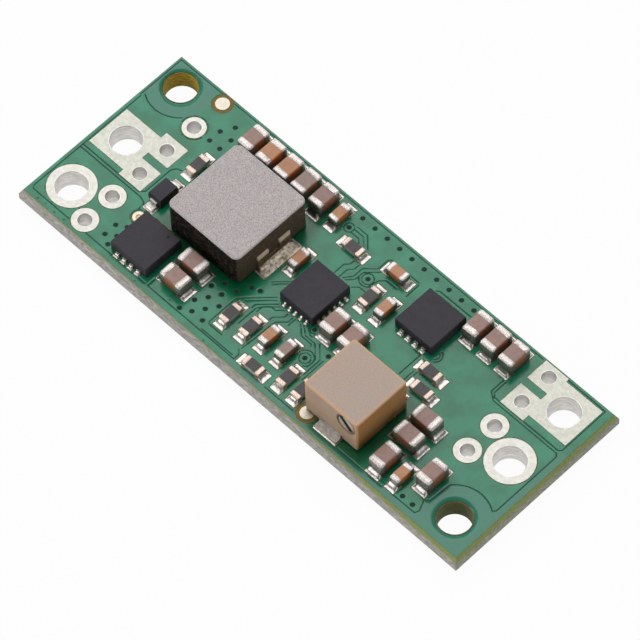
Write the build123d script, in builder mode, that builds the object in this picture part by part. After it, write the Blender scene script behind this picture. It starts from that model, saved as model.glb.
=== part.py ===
from build123d import *
import math
import os

# Small switching converter on a bare circuit board.
# Origin at the middle of the underside, +X along the length, +Y across, +Z up. Millimetres.

# Circuit board: 1.6 x 0.6 inch, scored and snapped out of a panel on all four sides
board_length = 40.64
board_width = 15.24
board_thickness = 1.6
score_inset = 0.24
score_depth = 0.5
mount_hole_r = 1.2
mount_holes = [(-18.33, 5.6), (18.0, -5.33)]

# Plated holes on a 2.54 mm grid, with larger wire holes 5.08 mm apart
pin_pitch = 2.54
pin_hole_r = 0.51
wire_hole_r = 1.15
plating = 0.04
pin_ring_r = 0.945
first_ring_r = 0.845
wire_ring_r = 1.73
left_pin_x = -15.376
left_pin_top_y = 3.956
right_pin_x = 15.098
right_pin_top_y = 6.449
left_wire_x = -17.93
left_wire_y = 0.1
right_wire_x = 17.63
right_wire_y = 5.25
power_pad_side = 3.52
tab_side = 1.95
tab_overlap = 0.05
tab_edge_gap = 0.1

# Round marks for the placing machine, and the single bare via
fiducial_r = 0.5
fiducials = [(-15.37, 6.63), (5.66, -6.4)]
test_via = (-12.97, -3.55)
test_via_r = 0.44
test_via_hole_r = 0.2

# Chip sizes: length, width, height, length of each metal end
chip_0805 = (2.0, 1.25, 1.25, 0.45)
chip_0603 = (1.6, 0.8, 0.8, 0.35)
resistor_0603 = (1.6, 0.8, 0.45, 0.3)
end_plate = 0.025
end_chamfer = 0.06

# Solder lands of the chips: overall span, length of one land, width
land_0805 = (2.7, 0.8, 1.2)
land_0603 = (2.5, 0.8, 0.86)

# Where each chip stands: name, x, y, and the turn that its length takes from X
capacitors_0805 = [
    ("input_capacitor_1", -11.45, 5.7, 90),
    ("input_capacitor_2", -9.8, 5.7, 90),
    ("input_capacitor_3", -8.15, 5.7, 90),
    ("input_capacitor_4", -6.5, 5.7, 90),
    ("input_capacitor_5", -4.85, 5.7, 90),
    ("output_capacitor_1", 9.4, 5.7, 90),
    ("output_capacitor_2", 11.03, 5.7, 90),
    ("output_capacitor_3", 12.65, 5.7, 90),
    ("bulk_capacitor_1", -7.4, -3.85, 0),
    ("bulk_capacitor_2", -7.4, -5.5, 0),
    ("bulk_capacitor_3", 2.55, -0.65, 90),
    ("bulk_capacitor_4", 4.2, -0.65, 90),
    ("bulk_capacitor_5", 11.95, -1.68, 0),
    ("bulk_capacitor_6", 11.95, -3.35, 0),
    ("bulk_capacitor_7", 11.95, -5.53, 90),
    ("bulk_capacitor_8", 15.0, -4.33, 90),
]
capacitors_0603 = [
    ("bypass_capacitor_1", -3.33, 5.67, 90),
    ("bypass_capacitor_2", -2.8, 1.35, 90),
    ("bypass_capacitor_3", 3.95, 2.57, 90),
    ("bypass_capacitor_4", 0.02, -4.2, 90),
    ("bypass_capacitor_5", 1.55, -4.22, 90),
    ("bypass_capacitor_6", 13.5, -5.6, 90),
    ("bypass_capacitor_7", 2.66, 5.08, 0),
]
resistors_0603 = [
    ("chip_resistor_1", -12.95, 1.93, 90),
    ("chip_resistor_2", 2.5, 2.57, 90),
    ("chip_resistor_3", -3.15, -4.68, 90),
    ("chip_resistor_4", -1.48, -4.5, 90),
    ("chip_resistor_5", 2.97, -5.5, 90),
    ("chip_resistor_6", 4.35, -5.5, 90),
    ("chip_resistor_7", -0.93, 4.55, 0),
    ("chip_resistor_8", 9.43, 1.27, 0),
    ("chip_resistor_9", 9.95, -0.12, 0),
    ("chip_resistor_10", 0.8, -6.47, 0),
]

# Moulded power inductor with a forked terminal folded up each end
inductor_x = -7.75
inductor_y = 0.6
inductor_length = 6.55
inductor_width = 6.65
inductor_height = 3.0
inductor_corner_r = 0.5
inductor_edge = 0.08
inductor_lift = 0.12
inductor_strip = 0.12
inductor_strip_width = 3.0
inductor_strip_height = 1.35
inductor_fork_gap = 1.0
inductor_foot_length = 1.7
inductor_land_width = 3.55
inductor_land_reach = 0.95

# Two power transistors, 3.3 mm square, four leads on each of two sides
transistor_side = 3.3
transistor_height = 0.92
transistor_lead_pitch = 0.65
transistor_lead_width = 0.32
transistor_lead_reach = 0.12
transistor_heat_pad = (2.4, 2.0)
transistor_heat_pad_shift = 0.45
transistor_lead_length = 0.45
transistors = [("left_transistor", -10.88, -4.87), ("right_transistor", 6.78, 3.95)]

# Controller in a flat leadless package
controller_x = -0.2
controller_y = 0.23
controller_length = 3.0
controller_width = 3.5
controller_height = 0.95
land_pitch = 0.5
land_width = 0.25
land_length = 0.36
lands_end = 5
lands_side = 6
toe_length = 0.28
controller_heat_pad = (1.4, 1.9)
land_margin = 0.1
package_metal = 0.2
package_edge = 0.05

# Rectifier diode, two leads
diode_x = -12.92
diode_y = -1.28
diode_length = 1.7
diode_width = 1.2
diode_height = 0.9
diode_lead_width = 0.6
diode_lead_thickness = 0.14
diode_foot = 0.5
diode_land_width = 0.9

# Square adjusting trimmer, screw in the side that faces -Y
trimmer_x = 7.7
trimmer_y = -3.92
trimmer_length = 4.8
trimmer_width = 4.65
trimmer_height = 3.3
trimmer_corner = 0.1
trimmer_edge = 0.07
trimmer_lift = 0.2
screw_x = 9.08
screw_height = 2.42
screw_z = board_thickness + screw_height
screw_r = 0.72
screw_running_gap = 0.04
screw_length = 4.2
screw_head_length = 0.7
screw_neck_r = 0.6
screw_slot_width = 0.24
screw_slot_depth = 0.4
screw_slot_turn = 45
screw_recess = 0.04
rotor_r = 1.35
rotor_gap = 0.06
rotor_foot = 1.1
rotor_top = 2.85
element_thickness = 0.6
trimmer_foot = 0.6
trimmer_foot_width = 1.95
trimmer_pair_pitch = 2.54
trimmer_pair_width = 1.2
trimmer_strip = 0.2
trimmer_land = 1.3

# Heights that everything shares
top_z = board_thickness
seat_z = board_thickness + plating
os.makedirs("parts", exist_ok=True)


def place(x, y, z, turn=0):
    """Plane at a point, its x axis turned about Z by a number of degrees."""
    angle = math.radians(turn)
    return Plane(origin=(x, y, z), x_dir=(math.cos(angle), math.sin(angle), 0), z_dir=(0, 0, 1))


# Hole positions worked out from the grid
left_pins = [(left_pin_x, left_pin_top_y - i * pin_pitch) for i in range(5)]
right_pins = [(right_pin_x, right_pin_top_y - i * pin_pitch) for i in range(4)]
left_wires = [(left_wire_x, left_wire_y - i * 2 * pin_pitch + 0.02 * i) for i in range(2)]
right_wires = [(right_wire_x, right_wire_y - i * 2 * pin_pitch) for i in range(2)]

# Each plated piece: its wire holes, its pin holes, and the ring radius of those that stand alone
plated_pieces = [
    ("left_power_pad", [left_wires[0]], left_pins[1:3], None, None),
    ("right_power_pad", [right_wires[0]], right_pins[0:2], None, None),
    ("left_wire_eyelet", [left_wires[1]], [], wire_ring_r, None),
    ("right_wire_eyelet", [right_wires[1]], [], wire_ring_r, None),
    ("enable_pin_eyelet", [], left_pins[0:1], None, first_ring_r),
    ("left_pin_eyelets", [], left_pins[3:5], None, pin_ring_r),
    ("right_pin_eyelets", [], right_pins[2:4], None, pin_ring_r),
]


def draw_pad_outline(wires, pins, wire_ring, pin_ring):
    """Outline of one plated piece on the top of the board, drawn into the open sketch."""
    if wires and pins:
        with Locations(*wires):
            Rectangle(power_pad_side, power_pad_side)
        for x, y in pins:
            low = y - tab_side / 2
            high = min(y + tab_side / 2, board_width / 2 - score_inset - tab_edge_gap)
            with Locations((x, (low + high) / 2)):
                Rectangle(tab_side + 2 * tab_overlap, high - low)
    else:
        if wires:
            with Locations(*wires):
                Circle(wire_ring)
        if pins:
            with Locations(*pins):
                Circle(pin_ring)


# Circuit board
score_angle = math.degrees(math.atan2(score_inset, score_depth))
with BuildPart() as circuit_board:
    with BuildSketch(Plane.XY.offset(score_depth)):
        Rectangle(board_length, board_width)
    extrude(amount=board_thickness - 2 * score_depth)
    with BuildSketch(Plane.XY.offset(board_thickness - score_depth)):
        Rectangle(board_length, board_width)
    extrude(amount=score_depth, taper=score_angle)
    with BuildSketch(Plane.XY.offset(score_depth)):
        Rectangle(board_length, board_width)
    extrude(amount=-score_depth, taper=score_angle)
    with BuildSketch():
        with Locations(*mount_holes):
            Circle(mount_hole_r)
        with Locations(*left_wires, *right_wires):
            Circle(wire_hole_r)
        with Locations(*left_pins, *right_pins):
            Circle(pin_hole_r)
    extrude(amount=board_thickness, mode=Mode.SUBTRACT)
circuit_board.part.label = "circuit_board"
export_step(circuit_board.part, "parts/circuit_board.step")

# Rings and pads round the plated holes
for name, wires, pins, wire_ring, pin_ring in plated_pieces:
    with BuildPart() as plated:
        with BuildSketch(Plane.XY.offset(top_z)):
            draw_pad_outline(wires, pins, wire_ring, pin_ring)
            if wires:
                with Locations(*wires):
                    Circle(wire_hole_r, mode=Mode.SUBTRACT)
            if pins:
                with Locations(*pins):
                    Circle(pin_hole_r, mode=Mode.SUBTRACT)
        extrude(amount=plating)
    plated.part.label = name
    export_step(plated.part, f"parts/{name}.step")

# Bare ring round a plugged via
with BuildPart() as test_point:
    with BuildSketch(Plane.XY.offset(top_z)):
        with Locations(test_via):
            Circle(test_via_r)
            Circle(test_via_hole_r, mode=Mode.SUBTRACT)
    extrude(amount=plating)
test_point.part.label = "test_point"
export_step(test_point.part, "parts/test_point.step")

# Round alignment marks
with BuildPart() as fiducial_marks:
    with BuildSketch(Plane.XY.offset(top_z)):
        with Locations(*fiducials):
            Circle(fiducial_r)
    extrude(amount=plating)
fiducial_marks.part.label = "fiducial_marks"
export_step(fiducial_marks.part, "parts/fiducial_marks.step")

# Rectangles of bare copper for the surface parts: centre, size
lands = []
for table, (span, length, width) in (
    (capacitors_0805, land_0805),
    (capacitors_0603 + resistors_0603, land_0603),
):
    for name, x, y, turn in table:
        offset = (span - length) / 2
        for side in (-1, 1):
            if turn == 0:
                lands.append((x + side * offset, y, length, width))
            else:
                lands.append((x, y + side * offset, width, length))
foot_reach = inductor_foot_length + inductor_land_reach
for side in (-1, 1):
    middle = inductor_length / 2 - inductor_foot_length + foot_reach / 2
    lands.append((inductor_x + side * middle, inductor_y, foot_reach, inductor_land_width))
    lands.append((diode_x, diode_y + side * (diode_length / 2 + 0.25), diode_land_width, 0.9))
for name, x, y in transistors:
    lands.append((x, y + transistor_heat_pad_shift, transistor_heat_pad[0] + land_margin,
                  transistor_heat_pad[1] + land_margin))
    for i in range(4):
        lead_x = x + (i - 1.5) * transistor_lead_pitch
        for side in (-1, 1):
            lands.append((lead_x, y + side * (transistor_side / 2 + 0.02), 0.42, 0.66))
end_y = controller_width / 2 + (toe_length - land_length) / 2
side_x = controller_length / 2 + (toe_length - land_length) / 2
toe = land_length + toe_length
for side in (-1, 1):
    for i in range(lands_end):
        offset = (i - (lands_end - 1) / 2) * land_pitch
        lands.append((controller_x + offset, controller_y + side * end_y, land_width + 0.01, toe))
    for i in range(lands_side):
        offset = (i - (lands_side - 1) / 2) * land_pitch
        lands.append((controller_x + side * side_x, controller_y + offset, toe, land_width + 0.01))
lands.append((controller_x, controller_y, controller_heat_pad[0] + land_margin,
              controller_heat_pad[1] + land_margin))
front_y = trimmer_y - trimmer_width / 2 - 0.05
back_y = trimmer_y + trimmer_width / 2 + 0.05
lands.append((trimmer_x, front_y, trimmer_foot_width + land_margin, trimmer_land))
for side in (-1, 1):
    lands.append((trimmer_x + side * trimmer_pair_pitch / 2, back_y,
                  trimmer_pair_width + land_margin, trimmer_land))

# Bare copper lands under the surface parts
with BuildPart() as surface_pads:
    with BuildSketch(Plane.XY.offset(top_z)):
        for x, y, length, width in lands:
            with Locations((x, y)):
                Rectangle(length, width)
    extrude(amount=plating)
surface_pads.part.label = "surface_pads"
export_step(surface_pads.part, "parts/surface_pads.step")


def chip_part(x, y, turn, size):
    """Chip with a slightly thicker metal cap over each end, standing on its lands."""
    length, width, height, end = size
    axis = Axis.X if turn == 0 else Axis.Y
    with BuildPart(place(x, y, seat_z + height / 2, turn)) as chip:
        Box(length - end_plate, width - 2 * end_plate, height - 2 * end_plate)
        with Locations((-(length - end) / 2, 0), ((length - end) / 2, 0)):
            Box(end, width, height)
        caps = chip.faces().filter_by(axis).sort_by(axis)
        chamfer(caps[0].edges() + caps[-1].edges(), length=end_chamfer)
    return chip


# Chip capacitors and resistors
for table, size in (
    (capacitors_0805, chip_0805),
    (capacitors_0603, chip_0603),
    (resistors_0603, resistor_0603),
):
    for name, x, y, turn in table:
        chip = chip_part(x, y, turn, size)
        chip.part.label = name
        export_step(chip.part, f"parts/{name}.step")

# Inductor body
with BuildPart() as inductor_core:
    with BuildSketch(place(inductor_x, inductor_y, seat_z + inductor_lift)):
        RectangleRounded(inductor_length, inductor_width, inductor_corner_r)
    extrude(amount=top_z + inductor_height - seat_z - inductor_lift)
    chamfer(inductor_core.faces().sort_by(Axis.Z)[-1].edges(), length=inductor_edge)
inductor_core.part.label = "inductor_core"
export_step(inductor_core.part, "parts/inductor_core.step")

# Inductor terminals: a flat foot under each end, and a fork folded up the side
for name, side in (("inductor_left_terminal", -1), ("inductor_right_terminal", 1)):
    face_x = inductor_x + side * inductor_length / 2
    with BuildPart() as terminal:
        with Locations((face_x - side * (inductor_foot_length - inductor_strip) / 2, inductor_y, seat_z)):
            Box(inductor_foot_length + inductor_strip, inductor_strip_width, inductor_lift,
                align=(Align.CENTER, Align.CENTER, Align.MIN))
        with Locations((face_x + side * inductor_strip / 2, inductor_y, seat_z)):
            Box(inductor_strip, inductor_strip_width, inductor_strip_height,
                align=(Align.CENTER, Align.CENTER, Align.MIN))
        with Locations((face_x + side * inductor_strip / 2, inductor_y, seat_z + 0.5)):
            Box(inductor_strip, inductor_fork_gap, inductor_strip_height,
                align=(Align.CENTER, Align.CENTER, Align.MIN), mode=Mode.SUBTRACT)
    terminal.part.label = name
    export_step(terminal.part, f"parts/{name}.step")

# Power transistors: metal leads and heat pad let into the underside of the moulding
for name, x, y in transistors:
    lead_spots = [
        (x + (i - 1.5) * transistor_lead_pitch, y + side * transistor_side / 2)
        for i in range(4) for side in (-1, 1)
    ]
    with BuildPart() as leads:
        with BuildSketch(Plane.XY.offset(seat_z)):
            for lead_x, lead_y in lead_spots:
                inward = transistor_lead_length if lead_y < y else -transistor_lead_length
                middle = lead_y + (inward - math.copysign(transistor_lead_reach, inward)) / 2
                with Locations((lead_x, middle)):
                    Rectangle(transistor_lead_width, transistor_lead_length + transistor_lead_reach)
            with Locations((x, y + transistor_heat_pad_shift)):
                Rectangle(*transistor_heat_pad)
        extrude(amount=package_metal)
    with BuildPart() as moulding:
        with BuildSketch(place(x, y, seat_z)):
            Rectangle(transistor_side, transistor_side)
        extrude(amount=transistor_height)
        chamfer(moulding.faces().sort_by(Axis.Z)[-1].edges(), length=package_edge)
        add(leads.part, mode=Mode.SUBTRACT)
    moulding.part.label = name
    export_step(moulding.part, f"parts/{name}.step")
    leads.part.label = f"{name}_leads"
    export_step(leads.part, f"parts/{name}_leads.step")

# Controller lands, and the moulding around them
with BuildPart() as controller_lands:
    with BuildSketch(place(controller_x, controller_y, seat_z)):
        for side in (-1, 1):
            for i in range(lands_end):
                offset = (i - (lands_end - 1) / 2) * land_pitch
                with Locations((offset, side * (controller_width - land_length + 0.04) / 2)):
                    Rectangle(land_width, land_length)
            for i in range(lands_side):
                offset = (i - (lands_side - 1) / 2) * land_pitch
                with Locations((side * (controller_length - land_length + 0.04) / 2, offset)):
                    Rectangle(land_length, land_width)
        Rectangle(*controller_heat_pad)
    extrude(amount=package_metal)
controller_lands.part.label = "controller_lands"
export_step(controller_lands.part, "parts/controller_lands.step")

with BuildPart() as controller:
    with BuildSketch(place(controller_x, controller_y, seat_z)):
        Rectangle(controller_length, controller_width)
    extrude(amount=controller_height)
    chamfer(controller.faces().sort_by(Axis.Z)[-1].edges(), length=package_edge)
    add(controller_lands.part, mode=Mode.SUBTRACT)
controller.part.label = "controller"
export_step(controller.part, "parts/controller.step")

# Diode body, slightly wider at mid height, and its two bent leads
diode_mid = diode_height / 2
with BuildPart() as rectifier_diode:
    with BuildSketch(place(diode_x, diode_y, seat_z + diode_mid)):
        Rectangle(diode_width, diode_length)
    extrude(amount=diode_mid, taper=8)
    with BuildSketch(place(diode_x, diode_y, seat_z + diode_mid)):
        Rectangle(diode_width, diode_length)
    extrude(amount=-(diode_mid - 0.02), taper=8)
rectifier_diode.part.label = "rectifier_diode"
export_step(rectifier_diode.part, "parts/rectifier_diode.step")

with BuildPart() as diode_leads:
    for side in (-1, 1):
        tip = side * (diode_length / 2 + diode_foot)
        face = side * diode_length / 2
        bend = side * (diode_length / 2 + diode_lead_thickness)
        thin = diode_lead_thickness
        with BuildSketch(Plane(origin=(diode_x - diode_lead_width / 2, diode_y, seat_z),
                               x_dir=(0, 1, 0), z_dir=(1, 0, 0))):
            with BuildLine():
                Polyline((face, 0), (tip, 0), (tip, thin), (bend, thin), (bend, diode_mid + thin / 2),
                         (face, diode_mid + thin / 2), (face, diode_mid - thin / 2),
                         (face, 0), close=False)
            make_face()
        extrude(amount=diode_lead_width)
diode_leads.part.label = "diode_leads"
export_step(diode_leads.part, "parts/diode_leads.step")

# Trimmer: resistive element plate in the floor, rotor above it, screw across the rotor's rim
front_face = trimmer_y - trimmer_width / 2
rotor_x = screw_x - screw_neck_r - rotor_gap - rotor_r
bore_r = screw_r + screw_running_gap
with BuildPart() as trimmer_housing:
    with BuildSketch(place(trimmer_x, trimmer_y, seat_z + trimmer_lift)):
        Rectangle(trimmer_length, trimmer_width)
    extrude(amount=top_z + trimmer_height - seat_z - trimmer_lift)
    chamfer(trimmer_housing.edges().filter_by(Axis.Z), length=trimmer_corner)
    chamfer(trimmer_housing.faces().sort_by(Axis.Z)[-1].edges(), length=trimmer_edge)
    with BuildSketch(place(rotor_x, trimmer_y, seat_z + trimmer_lift)):
        Circle(rotor_r + rotor_gap)
    extrude(amount=top_z + rotor_top + rotor_gap - seat_z - trimmer_lift, mode=Mode.SUBTRACT)
    with BuildSketch(Plane(origin=(screw_x, front_face, screw_z), x_dir=(1, 0, 0), z_dir=(0, -1, 0))):
        Circle(bore_r)
    extrude(amount=-(screw_recess + screw_length + rotor_gap), mode=Mode.SUBTRACT)
trimmer_housing.part.label = "trimmer_housing"
export_step(trimmer_housing.part, "parts/trimmer_housing.step")

with BuildPart() as trimmer_element:
    with BuildSketch(place(rotor_x, trimmer_y, seat_z + trimmer_lift)):
        Circle(rotor_r + rotor_gap)
    extrude(amount=element_thickness)
trimmer_element.part.label = "trimmer_element"
export_step(trimmer_element.part, "parts/trimmer_element.step")

with BuildPart() as trimmer_rotor:
    with BuildSketch(place(rotor_x, trimmer_y, top_z + rotor_foot)):
        Circle(rotor_r)
    extrude(amount=rotor_top - rotor_foot)
trimmer_rotor.part.label = "trimmer_rotor"
export_step(trimmer_rotor.part, "parts/trimmer_rotor.step")

with BuildPart() as adjusting_screw:
    head_plane = Plane(origin=(screw_x, front_face + screw_recess, screw_z), x_dir=(1, 0, 0),
                       z_dir=(0, -1, 0))
    with BuildSketch(head_plane):
        Circle(screw_r)
    extrude(amount=-screw_head_length)
    with BuildSketch(head_plane):
        Circle(screw_neck_r)
    extrude(amount=-screw_length)
    chamfer(adjusting_screw.faces().sort_by(Axis.Y)[0].edges(), length=0.05)
    with BuildSketch(head_plane):
        Rectangle(3 * screw_r, screw_slot_width, rotation=-screw_slot_turn)
    extrude(amount=-screw_slot_depth, mode=Mode.SUBTRACT)
adjusting_screw.part.label = "adjusting_screw"
export_step(adjusting_screw.part, "parts/adjusting_screw.step")

# Trimmer terminals: one wide foot in front, two narrow ones behind
feet = [(trimmer_x, -1, trimmer_foot_width)]
for side in (-1, 1):
    feet.append((trimmer_x + side * trimmer_pair_pitch / 2, 1, trimmer_pair_width))
with BuildPart() as trimmer_terminals:
    for x, out, width in feet:
        face = trimmer_y + out * trimmer_width / 2
        with Locations((x, face + out * (trimmer_foot - 0.3) / 2, seat_z)):
            Box(width, trimmer_foot + 0.3, trimmer_strip, align=(Align.CENTER, Align.CENTER, Align.MIN))
        with Locations((x, face + out * 0.06, seat_z)):
            Box(width, 0.12, 0.5, align=(Align.CENTER, Align.CENTER, Align.MIN))
trimmer_terminals.part.label = "trimmer_terminals"
export_step(trimmer_terminals.part, "parts/trimmer_terminals.step")
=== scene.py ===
# %% [markdown]
# # A small switching converter on a green circuit board
#
# The board is 40 mm long. It carries a power inductor, two switching transistors, a controller,
# a diode, an adjusting trimmer and 33 chip parts, all soldered to tinned copper pads.
# The CAD model already holds every part at its right place and size, so this lesson only dresses it:
# the green varnish with its tracks, the dipped ends of the chips, the solder and the finishes.
# Lengths are typed in millimetres and turned into metres when a mesh is made.

# %% Load the frame
import math

import bmesh
import bpy
import numpy as np
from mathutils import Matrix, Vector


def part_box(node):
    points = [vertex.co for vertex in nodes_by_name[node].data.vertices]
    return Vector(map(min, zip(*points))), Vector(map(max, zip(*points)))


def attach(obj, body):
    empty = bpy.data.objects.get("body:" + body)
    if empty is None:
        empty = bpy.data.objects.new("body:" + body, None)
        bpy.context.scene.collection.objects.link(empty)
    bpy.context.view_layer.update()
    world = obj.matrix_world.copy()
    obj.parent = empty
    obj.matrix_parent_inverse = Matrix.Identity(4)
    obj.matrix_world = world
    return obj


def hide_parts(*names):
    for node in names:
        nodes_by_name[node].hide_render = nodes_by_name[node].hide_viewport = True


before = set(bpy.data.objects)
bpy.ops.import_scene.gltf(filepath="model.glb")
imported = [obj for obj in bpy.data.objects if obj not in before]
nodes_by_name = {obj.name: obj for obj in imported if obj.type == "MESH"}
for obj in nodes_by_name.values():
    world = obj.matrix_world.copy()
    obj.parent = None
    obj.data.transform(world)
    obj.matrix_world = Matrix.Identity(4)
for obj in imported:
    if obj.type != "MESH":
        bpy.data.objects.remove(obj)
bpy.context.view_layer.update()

MM = 0.001


# %% [markdown]
# ## The camera
#
# The photograph was taken from far away with a long lens, about 59 degrees above the board, so the
# board's sides stay nearly parallel. The place and the lens below come from the pin holes, whose
# pitch of 2.54 mm is known.

# %% Camera
camera_data = bpy.data.cameras.new("camera")
camera_data.sensor_width = 36.0
camera_data.lens = 326.066
camera_data.clip_start = 0.02
camera = bpy.data.objects.new("camera", camera_data)
camera.location = (0.144953, -0.135485, 0.327055)
camera.rotation_euler = [math.radians(angle) for angle in (31.15512, 1.19568, 44.87630)]
bpy.context.scene.collection.objects.link(camera)
bpy.context.scene.camera = camera
bpy.context.scene.view_settings.view_transform = "Standard"
print("camera", round(camera.location.length / MM), "mm from the board")

# %% [markdown]
# ## Small tools for materials
#
# The lights, the floor and every finish are trees of shader nodes. The helpers below only join nodes:
# each takes plain values or sockets and gives back the socket that holds the result. A socket knows which
# tree it is in, so only the helpers that read something new are told the tree.

# %% Node helpers
def add_node(tree, kind, **values):
    """New node. Keywords set its own properties, and `inputs` maps a socket's name or number to a value or
    to another socket."""
    node = tree.nodes.new(kind)
    inputs = values.pop("inputs", {})
    for key, value in values.items():
        setattr(node, key, value)
    for key, value in inputs.items():
        if isinstance(value, bpy.types.NodeSocket):
            tree.links.new(value, node.inputs[key])
        else:
            node.inputs[key].default_value = value
    return node


def join_node(kind, inputs, **values):
    """New node in the tree of the sockets that feed it."""
    tree = next(value for value in inputs.values() if isinstance(value, bpy.types.NodeSocket)).id_data
    return add_node(tree, kind, inputs=inputs, **values)


def math_node(operation, a, b=0.0):
    """Output of one sum, difference or comparison."""
    return join_node("ShaderNodeMath", {0: a, 1: b}, operation=operation).outputs[0]


def times(a, b):
    """Product of two values."""
    return math_node("MULTIPLY", a, b)


def larger(a, b):
    """The larger of two values."""
    return math_node("MAXIMUM", a, b)


def apart(value, middle):
    """How far a value lies from a middle, either way."""
    return math_node("ABSOLUTE", math_node("SUBTRACT", value, middle))


def ramp(value, start, end):
    """0 at the start and before it, 1 at the end and beyond it, smooth between."""
    return join_node("ShaderNodeMapRange", {"Value": value, "From Min": start, "From Max": end},
                     interpolation_type="SMOOTHSTEP").outputs["Result"]


def mix_colour(factor, a, b):
    """Colour a where the factor is 0, b where it is 1."""
    a, b = (c if isinstance(c, bpy.types.NodeSocket) else (*c, 1) for c in (a, b))
    return join_node("ShaderNodeMix", {0: factor, 6: a, 7: b}, data_type="RGBA").outputs[2]


def split(vector):
    """The x, y and z of a vector."""
    return join_node("ShaderNodeSeparateXYZ", {0: vector}).outputs


def bump(height, depth, **inputs):
    """Normal of a surface that rises with a value, by a depth in millimetres or a socket in metres."""
    distance = depth if isinstance(depth, bpy.types.NodeSocket) else depth * MM
    inputs.update(Strength=1.0, Distance=distance, Height=height)
    return join_node("ShaderNodeBump", inputs).outputs[0]


def off_axis(u, v, middle):
    """Distance of the place (u, v) from a middle in millimetres: the root of the summed squares."""
    squares = [math_node("POWER", math_node("SUBTRACT", value, centre * MM), 2.0)
               for value, centre in zip((u, v), middle)]
    return math_node("SQRT", math_node("ADD", *squares))


def object_place(tree):
    """Object coordinates in metres."""
    return add_node(tree, "ShaderNodeTexCoord").outputs["Object"]


def surface_normal(tree):
    """The x, y and z of the direction that the surface faces."""
    return split(add_node(tree, "ShaderNodeNewGeometry").outputs["Normal"])


def attribute(tree, name):
    """A value that a mesh carries at its points."""
    return add_node(tree, "ShaderNodeAttribute", attribute_name=name).outputs["Fac"]


print("node helpers ready")

# %% [markdown]
# ## Softboxes
#
# A large softbox stands where the varnish mirrors it into the camera. It lights the board, and its
# reflection lays the pale veil over the green that makes the varnish look glossy. Two weaker ones stand
# low at the left front and at the right: they light the parts' sides and leave the varnish in the parts'
# shade deep green.

# %% Lamps
def softbox(name, bearing, height, distance, side, radiance):
    """Square lamp that faces the board. Its power is radiance x pi x area, so the size sets the softness."""
    data = bpy.data.lights.new(name, "AREA")
    data.shape = "SQUARE"
    data.size = side
    data.energy = radiance * math.pi * side ** 2
    lamp = bpy.data.objects.new(name, data)
    a, e = math.radians(bearing), math.radians(height)
    lamp.location = (distance * math.cos(e) * math.cos(a), distance * math.cos(e) * math.sin(a),
                     distance * math.sin(e))
    lamp.rotation_euler = (math.pi / 2 - e, 0, a + math.pi / 2)
    bpy.context.scene.collection.objects.link(lamp)


softbox("key_softbox", bearing=137, height=58, distance=0.30, side=0.34, radiance=2.12)
softbox("fill_softbox", bearing=235, height=20, distance=0.35, side=0.22, radiance=2.85)
softbox("side_softbox", bearing=0, height=20, distance=0.35, side=0.20, radiance=1.5)

# %% [markdown]
# ## The room and the floor
#
# The room is dim overhead and has white walls near the floor, which only the camera and reflections see.
# The photograph's ground is pure white with hardly a shadow. The floor mixes its own white with a plain
# white glow that again only the camera and reflections see, so a trace of the shadow stays.

# %% Room
WORLD_LIGHT = 0.18
WALL_TOP, WALL_FULL = 0.28, 0.12


def seen_directly(tree):
    """1 for camera, mirror and glass rays, 0 for the rays that carry light to the object."""
    rays = add_node(tree, "ShaderNodeLightPath").outputs
    seen = larger(rays["Is Camera Ray"], rays["Is Glossy Ray"])
    return larger(seen, rays["Is Transmission Ray"])


def white_walls(tree, dim):
    """White where a ray leaves at a low angle, which is read from its rise, else the dim room."""
    white = add_node(tree, "ShaderNodeBackground", inputs={"Color": (1, 1, 1, 1), "Strength": 1.0})
    toward = split(add_node(tree, "ShaderNodeTexCoord").outputs["Generated"])
    wall = times(ramp(toward[2], WALL_TOP, WALL_FULL), seen_directly(tree))
    mixed = add_node(tree, "ShaderNodeMixShader", inputs={0: wall, 1: dim.outputs[0], 2: white.outputs[0]})
    return mixed.outputs[0]


world = bpy.data.worlds.new("studio")
bpy.context.scene.world = world
world.use_nodes = True
room_tree = world.node_tree
dim_room = room_tree.nodes["Background"]
dim_room.inputs["Color"].default_value = (1, 1, 1, 1)
dim_room.inputs["Strength"].default_value = WORLD_LIGHT
room_output = room_tree.nodes["World Output"]
room_tree.links.new(white_walls(room_tree, dim_room), room_output.inputs["Surface"])
print("world", world.name, "at", WORLD_LIGHT)

# %% Floor
FLOOR_Z = -0.05
FLOOR_REACH = 3.0
GLOW_SHARE = 0.96
floor_mesh = bpy.data.meshes.new("floor")
floor_mesh.from_pydata([(x * FLOOR_REACH, y * FLOOR_REACH, FLOOR_Z * MM)
                        for x, y in ((-1, -1), (1, -1), (1, 1), (-1, 1))], [], [(0, 1, 2, 3)])
floor = bpy.data.objects.new("floor", floor_mesh)
bpy.context.scene.collection.objects.link(floor)
floor_paper = bpy.data.materials.new("floor_paper")
floor_paper.use_nodes = True
floor_tree = floor_paper.node_tree
paper = floor_tree.nodes["Principled BSDF"]
paper.inputs["Base Color"].default_value = (0.8, 0.8, 0.8, 1)
paper.inputs["Roughness"].default_value = 0.9
glow = add_node(floor_tree, "ShaderNodeEmission", inputs={"Strength": 1.0})
glowing = times(seen_directly(floor_tree), GLOW_SHARE)
floor_blend = add_node(floor_tree, "ShaderNodeMixShader",
                       inputs={0: glowing, 1: paper.outputs[0], 2: glow.outputs[0]})
floor_tree.links.new(floor_blend.outputs[0], floor_tree.nodes["Material Output"].inputs["Surface"])
floor_mesh.materials.append(floor_paper)
print("floor at", FLOOR_Z, "mm")

# %% [markdown]
# ## Three shared effects
#
# `fine_grain` is a small bump with the value that made it, for pressed powder, moulding and tin.
# `cloudy` is a soft value in patches, for stains and uneven colour. `layer_streaks` is a value drawn out
# level with the board, for the glass layers in its edge and the turned marks in its holes. Each is a node
# group with its own inputs. All read Object coordinates, so their pattern stays on the part when it moves.

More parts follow.
